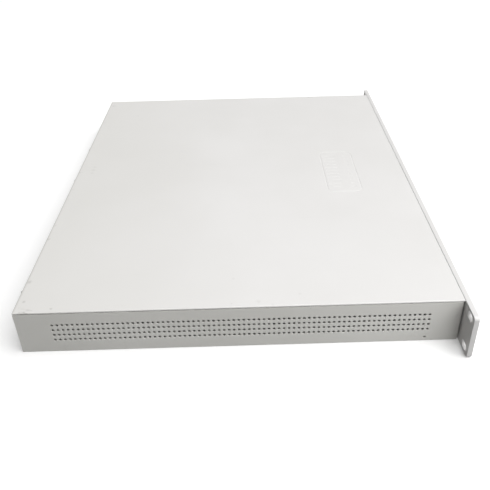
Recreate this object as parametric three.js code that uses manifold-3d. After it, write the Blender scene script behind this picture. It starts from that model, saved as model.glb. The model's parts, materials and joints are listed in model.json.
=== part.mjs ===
// A one-unit rack firewall appliance. Millimetres, +Z up, the front plate faces -Y, +X is right as seen
// from the front. The origin is the centre of the bottom of the whole appliance's bounding box.
import * as THREE from "three";
import { mergeGeometries, mergeVertices } from "three/addons/utils/BufferGeometryUtils.js";
import Module from "manifold-3d";

const wasm = await Module();
wasm.setup();

// ---- Driving dimensions -------------------------------------------------------------------------
const GAP = 0.3; // left between pieces that touch

// Sides of the polygons that stand for circles.
const HEX = 6;
const COARSE = 8;
const MEDIUM = 12;
const FINE = 16;
const END_FLAT = 0.05; // straight length kept at the end of a slot, on each side of its middle

// Enclosure.
const RACK_WIDTH = 482.6; // front plate of a 19 inch rack unit
const RACK_SLOT_SPAN = 465.1; // between the left and right mounting slots
const RACK_SLOT_RISE = 31.75; // between the two slots of one ear
const RACK_SLOT = { length: 10.3, height: 6.8 };
const CASE_WIDTH = 440;
const CASE_HEIGHT = 43.6;
const CASE_DEPTH = 370; // front edge to rear edge of the top cover
const PLATE_THICKNESS = 4.5;
const PLATE_CORNER = 3;
const SHEET = 1.2; // folded steel sheet
const FLANGE = 9; // turned edges of the sheets, from the sheet's outside
const REAR_PROUD = 3; // how far the inlet and the rocker stand out of the rear panel
const BADGE = { width: 92, depth: 38, fromFront: 52, radius: 8, line: 1.6, sunk: 0.4 };
const LIGHT_WINDOW = { width: 14, height: 16, radius: 2 }; // in the bulkhead, behind the indicators
const WINDOW_RIB = 3; // between the two windows of the bulkhead, behind the intake slots

// Side vents: a square-cornered grid of round holes, each drawn with VENT_SIDES sides.
const VENT_COLUMNS = 76;
const VENT_ROWS = 4;
const VENT_COLUMN_PITCH = 4.17;
const VENT_ROW_PITCH = 5.37;
const VENT_RADIUS = 1.2;
const VENT_SIDES = 4;
const VENT_FRONT_MARGIN = 27.3; // front edge of the side to the centre of the first column
const VENT_CENTRE_Z = 21.1;
const PIN_HOLE = { fromFront: 29, z: 3.9, radius: 1.1 };

// Screws.
const PLATE_SCREW = { shank: 1.5, head: 3, headDepth: 1.7, length: 9, socket: 1.1, sunk: 0.1 };
const PLATE_SCREW_PLACES = [[-208, 9], [-208, 34.6], [208, 9], [208, 34.6]];
const COVER_SCREW = { shank: 1.4, head: 2.8, crown: 2.2, headHeight: 1.8, length: 5, socket: 1.2 };
const COVER_SCREW_X = [-190, 0, 75];
const COVER_SCREW_Z = CASE_HEIGHT - 5;
const COVER_TAB_WIDTH = 14;

// Derived planes.
const FRONT_Y = -(PLATE_THICKNESS + GAP + CASE_DEPTH + REAR_PROUD) / 2;
const CASE_FRONT_Y = FRONT_Y + PLATE_THICKNESS + GAP;
const CASE_REAR_Y = CASE_FRONT_Y + CASE_DEPTH;
const REAR_INNER_Y = CASE_REAR_Y - SHEET - GAP;
const SIDE_X = CASE_WIDTH / 2;
const INNER_X = SIDE_X - SHEET - GAP; // what lies inside the side panels ends here
const WALL_X = INNER_X - SHEET - GAP; // what lies inside the turned flanges ends here
const COVER_UNDER_Z = CASE_HEIGHT - SHEET;
const WALL_BOTTOM_Z = SHEET + GAP;
const WALL_TOP_Z = COVER_UNDER_Z - GAP;

// Main board. Its connectors stand on its front edge and reach into the front plate.
const BOARD = { x0: -196, x1: 116, y0: CASE_FRONT_Y + 7, depth: 205, z0: 7.2, thickness: 1.6 };
const BOARD_TOP = BOARD.z0 + BOARD.thickness;
const BOSS = { radius: 3, screw: 1.6, inset: 8, fromFront: 32 };
const ON_BOARD_Z = BOARD_TOP + GAP;
const PORT_FACE_Y = FRONT_Y + 0.8;
const CUTOUT_MARGIN = 0.4;

// Connectors and controls of the front. Every x is the middle of its piece.
const JACK = { width: 15.9, height: 13.4, depth: 21.3 };
const JACK_CAVITY = { width: 11.8, height: 6.8, depth: 15, floor: 4.4 };
const JACK_LATCH = [{ width: 6.2, drop: 1.4 }, { width: 3.4, drop: 2.8 }];
const JACK_PITCH = 14.6; // between the ports of one block
const BLOCK_PORTS = 4;
const BLOCK_X = [-58, 8];
const CONSOLE_X = -128;
const MANAGEMENT_X = -108.5;
const USB = { x: -149, width: 14.6, height: 15.8, depth: 17.6, wall: 0.8, back: 2 };
const USB_TONGUE = { width: 11.2, height: 1.9, set: 2, rise: 1 };
const CAGE = { width: 15, height: 10, depth: 48, wall: 0.7 };
const CAGE_FIRST_X = 56;
const CAGE_PITCH = 16.4;
const CAGE_COUNT = 4;
const LIGHT = { radius: 1.5, columns: [-192, -184], rows: [17.5, 27.5], backs: [4, 9], sunk: 0.2 };
const LIGHT_BAR = { rise: 1, height: 2 };
const RESET = { x: -169, z: 17.5, radius: 1.9, length: 13.3, sunk: 0.6, travel: 1.2 };
const RESET_COLLAR = { reach: 1.2, thickness: 1.5 };
const RESET_SWITCH = { width: 8, depth: 6, rise: 4, base: { width: 6, set: 1, height: 2 } };
const INTAKE = { x: 163, z: 21.8, width: 3, height: 24, pitch: 7, count: 9 };

// Axial fans along the rear.
const CASE_FAN = { side: 40, depth: 28 };
const SUPPLY_FAN = { side: 36, depth: 20 };
const FAN_X = [-132, -82, -32];
const FAN_Z = CASE_HEIGHT / 2;
const FAN_REAR_Y = REAR_INNER_Y - GAP;
const FAN_BLADES = 5;
const FAN_STRUT = 3;
const FAN_INTAKE = 1; // from the frame's front face to the rotor
const BLADE = { thickness: 1.2, pitch: 38, share: 0.85, root: 2 };
const GRILLE_RADII = [[5.4, 8.4], [10.2, 13.2], [15, 17.6]];
const GRILLE_ARCS = 4;
const GRILLE_RIB = 1.6;

// Power supply with its inlet and switch, and the earth stud beside it.
const SUPPLY = { x0: 118, x1: 212, depth: 150, z0: 2.4, z1: 41.2, wall: 1 };
const SUPPLY_SLOTS = { count: 6, pitch: 12, width: 5, height: 24, x: 161 };
const SUPPLY_BOARD = { inset: 4, fromFront: 6, depth: 106, rise: 3, thickness: 1.6, partRise: 1 };
const COOLER = { x: 14, width: 22, base: 3, fins: 5, pitch: 5, fin: 2, height: 25, margins: [8, 12] };
const CAPACITOR = { radius: 10, height: 26, x: 16, places: [30, 54] }; // from the board's far corner
const TRANSFORMER = { x: 34, y: 26, width: 24, depth: 32, bottom: 4, top: 21 };
const WINDING = { inset: 3, proud: 3, height: 25 };
const SUPPLY_FAN_X = SUPPLY.x0 + 24;
const INLET = { x: 195, z: 21.8, flangeW: 30, flangeH: 23, bodyW: 27, bodyH: 20, chamfer: 4.5, depth: 21 };
const INLET_CAVITY = { width: 24, height: 16.4, depth: 17 };
const INLET_PINS = { width: 2, height: 4, length: 12, places: [[-7, -2], [0, 2], [7, -2]] };
const BEZEL = { x: 171.2, z: 21.8, flangeW: 14.4, flangeH: 22, bodyW: 12.6, bodyH: 20, depth: 15, lip: 1.6 };
const ROCKER = { width: 9.6, radius: 9, halfAngle: 62, tilt: 10, valley: 2.9, pivotRadius: 1.2, pinReach: 1 };
const PIVOT_Y = CASE_REAR_Y - 2.6;
const EARTH_STUD = { x: 98, z: 12, radius: 2, nutRadius: 4, nut: 2.2, inside: 6 };

// ---- Finishes -----------------------------------------------------------------------------------
const finish = (color, roughness, metalness) =>
  new THREE.MeshStandardMaterial({ color, roughness, metalness });
const PAINT = finish(0xdcdbd7, 0.45, 0.1);
const PLATE_PAINT = finish(0xd5d4d1, 0.4, 0.2);
const ZINC = finish(0xb4b6b5, 0.35, 0.9);
const STEEL = finish(0xc4c5c4, 0.3, 1);
const BRASS = finish(0xb59a4c, 0.35, 1);
const ALUMINIUM = finish(0xa9acae, 0.4, 1);
const BLACK_PLASTIC = finish(0x191a1b, 0.5, 0);
const DARK_PLASTIC = finish(0x26282a, 0.55, 0);
const CIRCUIT_GREEN = finish(0x1f5a36, 0.5, 0);
const CHIP_BLACK = finish(0x202123, 0.6, 0);
const TRANSFORMER_YELLOW = finish(0xc9b458, 0.6, 0);
const CLEAR_PLASTIC = finish(0xcfdccf, 0.15, 0);
const CABLE_BLACK = finish(0x17181a, 0.6, 0);

// ---- Geometry helpers ---------------------------------------------------------------------------
const X_AXIS = new THREE.Vector3(1, 0, 0);
const Y_AXIS = new THREE.Vector3(0, 1, 0);
const Z_AXIS = new THREE.Vector3(0, 0, 1);

function solid(geometry) {
  const plain = geometry.index ? geometry.toNonIndexed() : geometry.clone();
  plain.deleteAttribute("normal");
  plain.deleteAttribute("uv");
  const merged = mergeVertices(plain, 1e-4);
  return new wasm.Manifold(new wasm.Mesh({
    numProp: 3,
    vertProperties: merged.attributes.position.array,
    triVerts: new Uint32Array(merged.index.array),
  }));
}

function geometryOf(manifold) {
  const mesh = manifold.getMesh();
  const positions = new Float32Array(mesh.numVert * 3);
  for (let i = 0; i < mesh.numVert; i++) {
    positions.set(mesh.vertProperties.subarray(i * mesh.numProp, i * mesh.numProp + 3), i * 3);
  }
  const geometry = new THREE.BufferGeometry();
  geometry.setAttribute("position", new THREE.BufferAttribute(positions, 3));
  geometry.setIndex(new THREE.BufferAttribute(new Uint32Array(mesh.triVerts), 1));
  return geometry;
}

function join(...geometries) {
  return geometryOf(geometries.map(solid).reduce((a, b) => a.add(b)));
}

function cut(geometry, ...tools) {
  return geometryOf(tools.map(solid).reduce((a, b) => a.subtract(b), solid(geometry)));
}

function common(a, b) {
  return geometryOf(solid(a).intersect(solid(b)));
}

// Corners of a regular polygon that stands for a circle.
function ring(a, b, radius, sides) {
  return Array.from({ length: sides }, (_, i) => {
    const t = (2 * Math.PI * i) / sides;
    return [a + radius * Math.cos(t), b + radius * Math.sin(t)];
  });
}

function rectangle(a, b, width, height) {
  const [w, h] = [width / 2, height / 2];
  return [[a - w, b - h], [a + w, b - h], [a + w, b + h], [a - w, b + h]];
}

// A rectangle with round corners, each drawn in the given number of steps.
function roundedRectangle(a, b, width, height, radius, steps = 4) {
  const corners = [[1, 1], [-1, 1], [-1, -1], [1, -1]];
  return corners.flatMap(([sideA, sideB], quarter) =>
    Array.from({ length: steps + 1 }, (_, i) => {
      const t = (quarter + i / steps) * (Math.PI / 2);
      return [
        a + sideA * (width / 2 - radius) + radius * Math.cos(t),
        b + sideB * (height / 2 - radius) + radius * Math.sin(t),
      ];
    }));
}

function prism(outline, from, to) {
  const shape = new THREE.Shape(outline.map(([a, b]) => new THREE.Vector2(a, b)));
  return new THREE.ExtrudeGeometry(shape, { depth: to - from, bevelEnabled: false })
    .translate(0, 0, from);
}

// A prism along Z from 0 to depth, with holes right through it.
function extrude(outline, holes, depth) {
  const body = prism(outline, 0, depth);
  return holes.length ? cut(body, mergeGeometries(holes.map((hole) => prism(hole, -1, depth + 1)))) : body;
}

// The outline lies in X and Z, and the solid runs from y0 to y1.
function alongY(outline, y0, y1, holes = []) {
  const turn = new THREE.Matrix4().makeBasis(X_AXIS, Z_AXIS, Y_AXIS.clone().negate());
  return extrude(outline, holes, y1 - y0).applyMatrix4(turn).translate(0, y1, 0);
}

// The outline lies in Y and Z, and the solid runs from x0 to x1.
function alongX(outline, x0, x1, holes = []) {
  const turn = new THREE.Matrix4().makeBasis(Y_AXIS, Z_AXIS, X_AXIS);
  return extrude(outline, holes, x1 - x0).applyMatrix4(turn).translate(x0, 0, 0);
}

// The outline lies in X and Y, and the solid runs from z0 to z1.
function alongZ(outline, z0, z1, holes = []) {
  return extrude(outline, holes, z1 - z0).translate(0, 0, z0);
}

function box(x0, x1, y0, y1, z0, z1) {
  return new THREE.BoxGeometry(x1 - x0, y1 - y0, z1 - z0)
    .translate((x0 + x1) / 2, (y0 + y1) / 2, (z0 + z1) / 2);
}

// A box centred on (x, z), from y0 to y1.
function block(x, z, width, height, y0, y1) {
  return box(x - width / 2, x + width / 2, y0, y1, z - height / 2, z + height / 2);
}

// A cylinder or cone along Y.
function roundAlongY(x, z, radius, y0, y1, sides, endRadius = radius) {
  return new THREE.CylinderGeometry(endRadius, radius, y1 - y0, sides).translate(x, (y0 + y1) / 2, z);
}

function disc(x, y, radius, z0, z1, sides) {
  return alongZ(ring(x, y, radius, sides), z0, z1);
}

// A wire of the given radius along a smooth curve through the points.
function wire(radius, sides, steps, ...points) {
  const extrudePath = new THREE.CatmullRomCurve3(points.map((p) => new THREE.Vector3(...p)));
  const section = new THREE.Shape(ring(0, 0, radius, sides).map(([a, b]) => new THREE.Vector2(a, b)));
  return new THREE.ExtrudeGeometry(section, { steps, bevelEnabled: false, extrudePath });
}

function spread(count, pitch, middle = 0) {
  return Array.from({ length: count }, (_, i) => middle + (i - (count - 1) / 2) * pitch);
}

const appliance = new THREE.Group();

function add(name, geometry, material) {
  const mesh = new THREE.Mesh(geometry, material);
  mesh.name = name;
  appliance.add(mesh);
}

// ---- Cut-outs that the front plate and the bulkhead behind it share --------------------------------
const blockJackX = BLOCK_X.map((x) => spread(BLOCK_PORTS, JACK_PITCH, x));
const cageX = Array.from({ length: CAGE_COUNT }, (_, i) => CAGE_FIRST_X + i * CAGE_PITCH);
const blockWidth = (BLOCK_PORTS - 1) * JACK_PITCH + JACK.width;
const cagesX = (cageX[0] + cageX[CAGE_COUNT - 1]) / 2;
const cagesWidth = (CAGE_COUNT - 1) * CAGE_PITCH + CAGE.width;

function connectorCutouts() {
  const around = (x, width, height) =>
    rectangle(x, ON_BOARD_Z + height / 2, width + 2 * CUTOUT_MARGIN, height + 2 * CUTOUT_MARGIN);
  return [
    ...[CONSOLE_X, MANAGEMENT_X].map((x) => around(x, JACK.width, JACK.height)),
    ...BLOCK_X.map((x) => around(x, blockWidth, JACK.height)),
    around(cagesX, cagesWidth, CAGE.height),
    around(USB.x, USB.width, USB.height),
    ring(RESET.x, RESET.z, RESET.radius + GAP, MEDIUM),
  ];
}

// ---- Enclosure ----------------------------------------------------------------------------------
function frontPlate() {
  const lights = LIGHT.columns.flatMap((x) =>
    LIGHT.rows.map((z) => ring(x, z, LIGHT.radius + GAP, COARSE)));
  const intakes = spread(INTAKE.count, INTAKE.pitch, INTAKE.x).map((x) =>
    roundedRectangle(x, INTAKE.z, INTAKE.width, INTAKE.height, INTAKE.width / 2 - END_FLAT, 1));
  const slots = [-1, 1].flatMap((sx) => [-1, 1].map((sz) =>
    roundedRectangle((sx * RACK_SLOT_SPAN) / 2, CASE_HEIGHT / 2 + (sz * RACK_SLOT_RISE) / 2,
      RACK_SLOT.length, RACK_SLOT.height, RACK_SLOT.height / 2 - END_FLAT, 3)));
  const outline = roundedRectangle(0, CASE_HEIGHT / 2, RACK_WIDTH, CASE_HEIGHT, PLATE_CORNER);
  const plate = alongY(outline, FRONT_Y, FRONT_Y + PLATE_THICKNESS,
    [...slots, ...lights, ...intakes, ...connectorCutouts()]);
  const sinks = PLATE_SCREW_PLACES.flatMap(([x, z]) => {
    const slope = (PLATE_SCREW.head - PLATE_SCREW.shank) / PLATE_SCREW.headDepth;
    return [
      roundAlongY(x, z, PLATE_SCREW.head + GAP + slope, FRONT_Y - 1, FRONT_Y + PLATE_SCREW.headDepth,
        MEDIUM, PLATE_SCREW.shank + GAP),
      roundAlongY(x, z, PLATE_SCREW.shank + GAP, FRONT_Y, CASE_FRONT_Y, MEDIUM),
    ];
  });
  return cut(plate, ...sinks);
}

// Countersunk, with a hexagon socket.
function plateScrew([x, z]) {
  const { shank, head, headDepth, length, socket, sunk } = PLATE_SCREW;
  return cut(
    join(
      roundAlongY(x, z, head, FRONT_Y + sunk, FRONT_Y + headDepth, MEDIUM, shank),
      roundAlongY(x, z, shank, FRONT_Y + headDepth / 2, FRONT_Y + length, MEDIUM),
    ),
    roundAlongY(x, z, socket, FRONT_Y - 1, FRONT_Y + headDepth, HEX),
  );
}

// Carries the front plate's screws, and its turned lip carries the cover's front edge.
function frontBulkhead() {
  const screwHoles = PLATE_SCREW_PLACES.map(([x, z]) => ring(x, z, PLATE_SCREW.shank + GAP, COARSE));
  const windowPitch = (INTAKE.count * INTAKE.pitch) / 2;
  const intakeWindows = spread(2, windowPitch, INTAKE.x).map((x) =>
    rectangle(x, INTAKE.z, windowPitch - WINDOW_RIB, INTAKE.height));
  const lightWindow = roundedRectangle((LIGHT.columns[0] + LIGHT.columns[1]) / 2,
    (LIGHT.rows[0] + LIGHT.rows[1]) / 2, LIGHT_WINDOW.width, LIGHT_WINDOW.height, LIGHT_WINDOW.radius, 1);
  const outline = rectangle(0, (WALL_BOTTOM_Z + WALL_TOP_Z) / 2, 2 * WALL_X, WALL_TOP_Z - WALL_BOTTOM_Z);
  const wall = alongY(outline, CASE_FRONT_Y, CASE_FRONT_Y + SHEET,
    [...connectorCutouts(), ...screwHoles, ...intakeWindows, lightWindow]);
  const lip = box(-WALL_X, WALL_X, CASE_FRONT_Y, CASE_FRONT_Y + FLANGE, WALL_TOP_Z - SHEET, WALL_TOP_Z);
  return join(wall, lip);
}

const bossX = [BOARD.x0 + BOSS.inset, (BOARD.x0 + BOARD.x1) / 2, BOARD.x1 - BOSS.inset];
const bossY = [BOARD.y0 + BOSS.fromFront, BOARD.y0 + BOARD.depth - BOSS.inset];
const bossPlaces = bossX.flatMap((x) => bossY.map((y) => [x, y]));

// A sheet whose two long edges turn up inside the side panels, with the bosses that carry the board.
function bottomPan() {
  const inner = INNER_X - SHEET;
  const section = [
    [-INNER_X, 0], [INNER_X, 0], [INNER_X, FLANGE], [inner, FLANGE], [inner, SHEET],
    [-inner, SHEET], [-inner, FLANGE], [-INNER_X, FLANGE],
  ];
  const bosses = bossPlaces.map(([x, y]) => disc(x, y, BOSS.radius, SHEET / 2, BOARD.z0 - GAP, HEX));
  return join(alongY(section, CASE_FRONT_Y, CASE_REAR_Y), ...bosses);
}

// side is -1 for the left panel and 1 for the right one.
function sidePanel(side) {
  const firstY = CASE_FRONT_Y + VENT_FRONT_MARGIN;
  const vents = Array.from({ length: VENT_COLUMNS }, (_, column) =>
    spread(VENT_ROWS, VENT_ROW_PITCH, VENT_CENTRE_Z).map((z) =>
      ring(firstY + column * VENT_COLUMN_PITCH, z, VENT_RADIUS, VENT_SIDES)));
  const pin = ring(CASE_FRONT_Y + PIN_HOLE.fromFront, PIN_HOLE.z, PIN_HOLE.radius, VENT_SIDES);
  const outline = rectangle(CASE_FRONT_Y + CASE_DEPTH / 2, WALL_TOP_Z / 2, CASE_DEPTH, WALL_TOP_Z);
  const x = side * (SIDE_X - SHEET / 2);
  return alongX(outline, x - SHEET / 2, x + SHEET / 2, [...vents.flat(), pin]);
}

// Rings of short arcs between ribs: the guard of a fan, cut out of the sheet.
function grille(x, z) {
  return GRILLE_RADII.flatMap(([inner, outer], ringIndex) =>
    Array.from({ length: GRILLE_ARCS }, (_, arc) => {
      const middle = ((arc + 0.5) * 2 * Math.PI) / GRILLE_ARCS;
      const corner = (radius, share) => {
        const t = middle + share * (Math.PI / GRILLE_ARCS - GRILLE_RIB / 2 / radius);
        return [x + radius * Math.cos(t), z + radius * Math.sin(t)];
      };
      const steps = ringIndex < 2 ? 2 : 3;
      const shares = Array.from({ length: steps + 1 }, (_, i) => (2 * i) / steps - 1);
      const inside = shares.map((share) => corner(inner, share));
      return [...inside, ...shares.reverse().map((share) => corner(outer, share))];
    }));
}

// The panel fits between the flanges of the pan and the cover, and is wider between their heights,
// where it reaches the side walls.
function rearPanel() {
  const low = FLANGE + GAP;
  const high = CASE_HEIGHT - FLANGE - GAP;
  const right = [
    [WALL_X, WALL_BOTTOM_Z], [WALL_X, low], [INNER_X, low], [INNER_X, high], [WALL_X, high],
    [WALL_X, WALL_TOP_Z],
  ];
  const left = right.map(([a, b]) => [-a, b]).reverse();
  return alongY([...right, ...left], CASE_REAR_Y - SHEET, CASE_REAR_Y, [
    ...[...FAN_X, SUPPLY_FAN_X].flatMap((x) => grille(x, FAN_Z)),
    rectangle(INLET.x, INLET.z, INLET.bodyW + 2 * GAP, INLET.bodyH + 2 * GAP),
    rectangle(BEZEL.x, BEZEL.z, BEZEL.bodyW + 2 * GAP, BEZEL.bodyH + 2 * GAP),
    ring(EARTH_STUD.x, EARTH_STUD.z, EARTH_STUD.radius + GAP, MEDIUM),
    ...COVER_SCREW_X.map((x) => ring(x, COVER_SCREW_Z, COVER_SCREW.shank + GAP, COARSE)),
  ]);
}

// A flat sheet. Its sides turn down inside the side panels, and three tabs behind the rear panel take
// the cover screws. A plain outline is pressed into it near the front, where a badge would go.
function topCover() {
  const inner = INNER_X - SHEET;
  const flangeZ = CASE_HEIGHT - FLANGE;
  const section = [
    [-SIDE_X, COVER_UNDER_Z], [-INNER_X, COVER_UNDER_Z], [-INNER_X, flangeZ], [-inner, flangeZ],
    [-inner, COVER_UNDER_Z], [inner, COVER_UNDER_Z], [inner, flangeZ], [INNER_X, flangeZ],
    [INNER_X, COVER_UNDER_Z], [SIDE_X, COVER_UNDER_Z], [SIDE_X, CASE_HEIGHT], [-SIDE_X, CASE_HEIGHT],
  ];
  const tabs = COVER_SCREW_X.map((x) =>
    box(x - COVER_TAB_WIDTH / 2, x + COVER_TAB_WIDTH / 2, REAR_INNER_Y - SHEET, REAR_INNER_Y, flangeZ,
      CASE_HEIGHT - SHEET / 2));
  const screwHoles = COVER_SCREW_X.map((x) =>
    roundAlongY(x, COVER_SCREW_Z, COVER_SCREW.shank + GAP, REAR_INNER_Y - 2 * SHEET, CASE_REAR_Y - GAP,
      COARSE));
  const badgeY = CASE_FRONT_Y + BADGE.fromFront + BADGE.depth / 2;
  const { width, depth, radius, line } = BADGE;
  const badge = alongZ(roundedRectangle(0, badgeY, width, depth, radius),
    CASE_HEIGHT - BADGE.sunk, CASE_HEIGHT + 1,
    [roundedRectangle(0, badgeY, width - 2 * line, depth - 2 * line, radius - line)]);
  return cut(join(alongY(section, CASE_FRONT_Y, CASE_REAR_Y), ...tabs), badge, ...screwHoles);
}

function coverScrew(x) {
  const { shank, head, crown, headHeight, length, socket } = COVER_SCREW;
  const seat = CASE_REAR_Y + GAP;
  return cut(
    join(
      roundAlongY(x, COVER_SCREW_Z, head, seat, seat + headHeight, MEDIUM, crown),
      roundAlongY(x, COVER_SCREW_Z, shank, seat - length, seat + headHeight / 2, COARSE),
    ),
    roundAlongY(x, COVER_SCREW_Z, socket, seat + headHeight / 2, seat + headHeight + 1, 4),
  );
}

add("front_plate", frontPlate(), PLATE_PAINT);
add("front_bulkhead", frontBulkhead(), ZINC);
add("bottom_pan", bottomPan(), PAINT);
add("left_side_panel", sidePanel(-1), PAINT);
add("right_side_panel", sidePanel(1), PAINT);
add("rear_panel", rearPanel(), PAINT);
add("top_cover", topCover(), PAINT);
PLATE_SCREW_PLACES.forEach((place, i) => add(`plate_screw_${i + 1}`, plateScrew(place), STEEL));
COVER_SCREW_X.forEach((x, i) => add(`cover_screw_${i + 1}`, coverScrew(x), STEEL));

// ---- Front connectors and controls ----------------------------------------------------------------
// The hole for a modular plug: a rectangle with a stepped notch below it for the plug's latch.
function jackCavity(x) {
  const floor = ON_BOARD_Z + JACK_CAVITY.floor;
  const right = [[JACK_CAVITY.width / 2, floor + JACK_CAVITY.height], [JACK_CAVITY.width / 2, floor]];
  let level = floor;
  for (const { width, drop } of JACK_LATCH) {
    right.push([width / 2, level], [width / 2, floor - drop]);
    level = floor - drop;
  }
  const left = right.map(([a, b]) => [-a, b]).reverse();
  const outline = [...left, ...right].map(([a, b]) => [x + a, b]);
  return alongY(outline, PORT_FACE_Y - 1, PORT_FACE_Y + JACK_CAVITY.depth);
}

// A shielded housing with one plug hole at each of the places.
function jackHousing(places) {
  const x0 = places[0] - JACK.width / 2;
  const x1 = places.at(-1) + JACK.width / 2;
  const body = box(x0, x1, PORT_FACE_Y, PORT_FACE_Y + JACK.depth, ON_BOARD_Z, ON_BOARD_Z + JACK.height);
  return cut(body, ...places.map(jackCavity));
}

// Two receptacles above each other, each with a tongue that grows from its back.
function usbPorts() {
  const backY = PORT_FACE_Y + USB.depth;
  const body = block(USB.x, ON_BOARD_Z + USB.height / 2, USB.width, USB.height, PORT_FACE_Y, backY);
  const cavityHeight = (USB.height - 3 * USB.wall) / 2;
  const middle = ON_BOARD_Z + USB.height / 2;
  const levels = spread(2, cavityHeight + USB.wall, middle);
  const cavities = levels.map((z) =>
    block(USB.x, z, USB.width - 2 * USB.wall, cavityHeight, PORT_FACE_Y - 1, backY - USB.back));
  const tongues = levels.map((z) =>
    block(USB.x, z + USB_TONGUE.rise, USB_TONGUE.width, USB_TONGUE.height, PORT_FACE_Y + USB_TONGUE.set,
      backY - USB.back / 2));
  return join(cut(body, ...cavities), ...tongues);
}

function fibreCage(x) {
  const z = ON_BOARD_Z + CAGE.height / 2;
  const backY = PORT_FACE_Y + CAGE.depth;
  return cut(
    block(x, z, CAGE.width, CAGE.height, PORT_FACE_Y, backY),
    block(x, z, CAGE.width - 2 * CAGE.wall, CAGE.height - 2 * CAGE.wall, PORT_FACE_Y - 1,
      backY - CAGE.wall),
  );
}

// Clear pipes run back from the plate and turn down to the lamps on the board; a bar joins them.
function lightPipes() {
  const pipes = LIGHT.columns.flatMap((x) => LIGHT.rows.flatMap((z, row) => {
    const backY = BOARD.y0 + LIGHT.backs[row];
    return [
      roundAlongY(x, z, LIGHT.radius, FRONT_Y + LIGHT.sunk, backY, COARSE),
      block(x, (z + LIGHT.radius + ON_BOARD_Z) / 2, 2 * LIGHT.radius, z + LIGHT.radius - ON_BOARD_Z,
        backY - LIGHT.radius, backY + LIGHT.radius),
    ];
  }));
  const barZ = ON_BOARD_Z + LIGHT_BAR.rise;
  const bar = box(LIGHT.columns[0] - LIGHT.radius, LIGHT.columns[1] + LIGHT.radius,
    BOARD.y0 + LIGHT.backs[0], BOARD.y0 + LIGHT.backs[1], barZ, barZ + LIGHT_BAR.height);
  return join(...pipes, bar);
}

const resetBackY = FRONT_Y + RESET.sunk + RESET.length;

// The collar stops the button behind the bulkhead, and the stem's end presses the switch.
function resetButton() {
  const collarY = CASE_FRONT_Y + SHEET + GAP;
  return join(
    roundAlongY(RESET.x, RESET.z, RESET.radius, FRONT_Y + RESET.sunk, resetBackY, MEDIUM),
    roundAlongY(RESET.x, RESET.z, RESET.radius + RESET_COLLAR.reach, collarY,
      collarY + RESET_COLLAR.thickness, MEDIUM),
  );
}

// An upright push switch on the board, whose spring returns the button.
function resetSwitch() {
  const faceY = resetBackY + RESET.travel + GAP;
  const { width, depth, rise, base } = RESET_SWITCH;
  return join(
    box(RESET.x - width / 2, RESET.x + width / 2, faceY, faceY + depth, ON_BOARD_Z, RESET.z + rise),
    box(RESET.x - base.width / 2, RESET.x + base.width / 2, faceY - base.set, faceY + depth - base.set,
      ON_BOARD_Z, ON_BOARD_Z + base.height),
  );
}

add("console_jack", jackHousing([CONSOLE_X]), STEEL);
add("management_jack", jackHousing([MANAGEMENT_X]), STEEL);
blockJackX.forEach((places, i) => add(`network_jack_block_${i + 1}`, jackHousing(places), STEEL));
add("usb_ports", usbPorts(), STEEL);
cageX.forEach((x, i) => add(`fibre_cage_${i + 1}`, fibreCage(x), STEEL));
add("light_pipes", lightPipes(), CLEAR_PLASTIC);
add("reset_button", resetButton(), BLACK_PLASTIC);
add("reset_switch", resetSwitch(), CHIP_BLACK);

// ---- Main board and what is on it ---------------------------------------------------------------
const PROCESSOR = { x: -50, y: -50, side: 37.5, height: 3.2 };
const PROCESSOR_SINK = { width: 76, depth: 86, base: 4, fins: 21, count: 19 };
const CONTROLLER = { x: -130, y: -80, side: 25, height: 1.8 };
const CONTROLLER_SINK = { width: 40, depth: 40, base: 3, fins: 8, count: 11 };
const FIN = 1.2;
const MEMORY = { x: [30, 44], y0: -115, length: 133.4, thickness: 1.4, height: 26 };
const MEMORY_CHIPS = { proud: 1, inset: 8, z0: 9, z1: 20 };
const SOCKET = { width: 6.4, height: 8, overhang: 5, latchHeight: 18, slotFloor: 2 };
const BATTERY = { x: 85, y: -20, radius: 10, height: 3.2, holder: 12, floor: 1.2 };

function mainBoard() {
  const outline = rectangle((BOARD.x0 + BOARD.x1) / 2, BOARD.y0 + BOARD.depth / 2,
    BOARD.x1 - BOARD.x0, BOARD.depth);
  return alongZ(outline, BOARD.z0, BOARD_TOP, bossPlaces.map(([x, y]) => ring(x, y, BOSS.screw, HEX)));
}

function chip({ x, y, side, height }) {
  return box(x - side / 2, x + side / 2, y - side / 2, y + side / 2, ON_BOARD_Z, ON_BOARD_Z + height);
}

// A finned block on a chip. The fins run front to back, the way the air goes.
function heatsink({ x, y, height }, { width, depth, base, fins, count }) {
  const z0 = ON_BOARD_Z + height + GAP;
  const pitch = (width - FIN) / (count - 1);
  const comb = [[x - width / 2, z0], [x + width / 2, z0]];
  for (let i = count - 1; i >= 0; i--) {
    const left = x - width / 2 + i * pitch;
    comb.push([left + FIN, z0 + base + fins], [left, z0 + base + fins]);
    if (i > 0) comb.push([left, z0 + base], [left - pitch + FIN, z0 + base]);
  }
  comb.splice(2, 0, [x + width / 2, z0 + base]);
  return alongY(comb, y - depth / 2, y + depth / 2);
}

function memorySocket(x) {
  const { width, height, overhang, latchHeight, slotFloor } = SOCKET;
  const y0 = MEMORY.y0 - overhang;
  const y1 = MEMORY.y0 + MEMORY.length + overhang;
  const across = [x - width / 2, x + width / 2];
  const latch = overhang - 1;
  const slot = MEMORY.thickness / 2 + GAP;
  return cut(
    join(
      box(...across, y0, y1, ON_BOARD_Z, ON_BOARD_Z + height),
      box(...across, y0, y0 + latch, ON_BOARD_Z + height / 2, ON_BOARD_Z + latchHeight),
      box(...across, y1 - latch, y1, ON_BOARD_Z + height / 2, ON_BOARD_Z + latchHeight),
    ),
    box(x - slot, x + slot, MEMORY.y0 - GAP, MEMORY.y0 + MEMORY.length + GAP, ON_BOARD_Z + slotFloor,
      ON_BOARD_Z + latchHeight + 1),
  );
}

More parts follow.
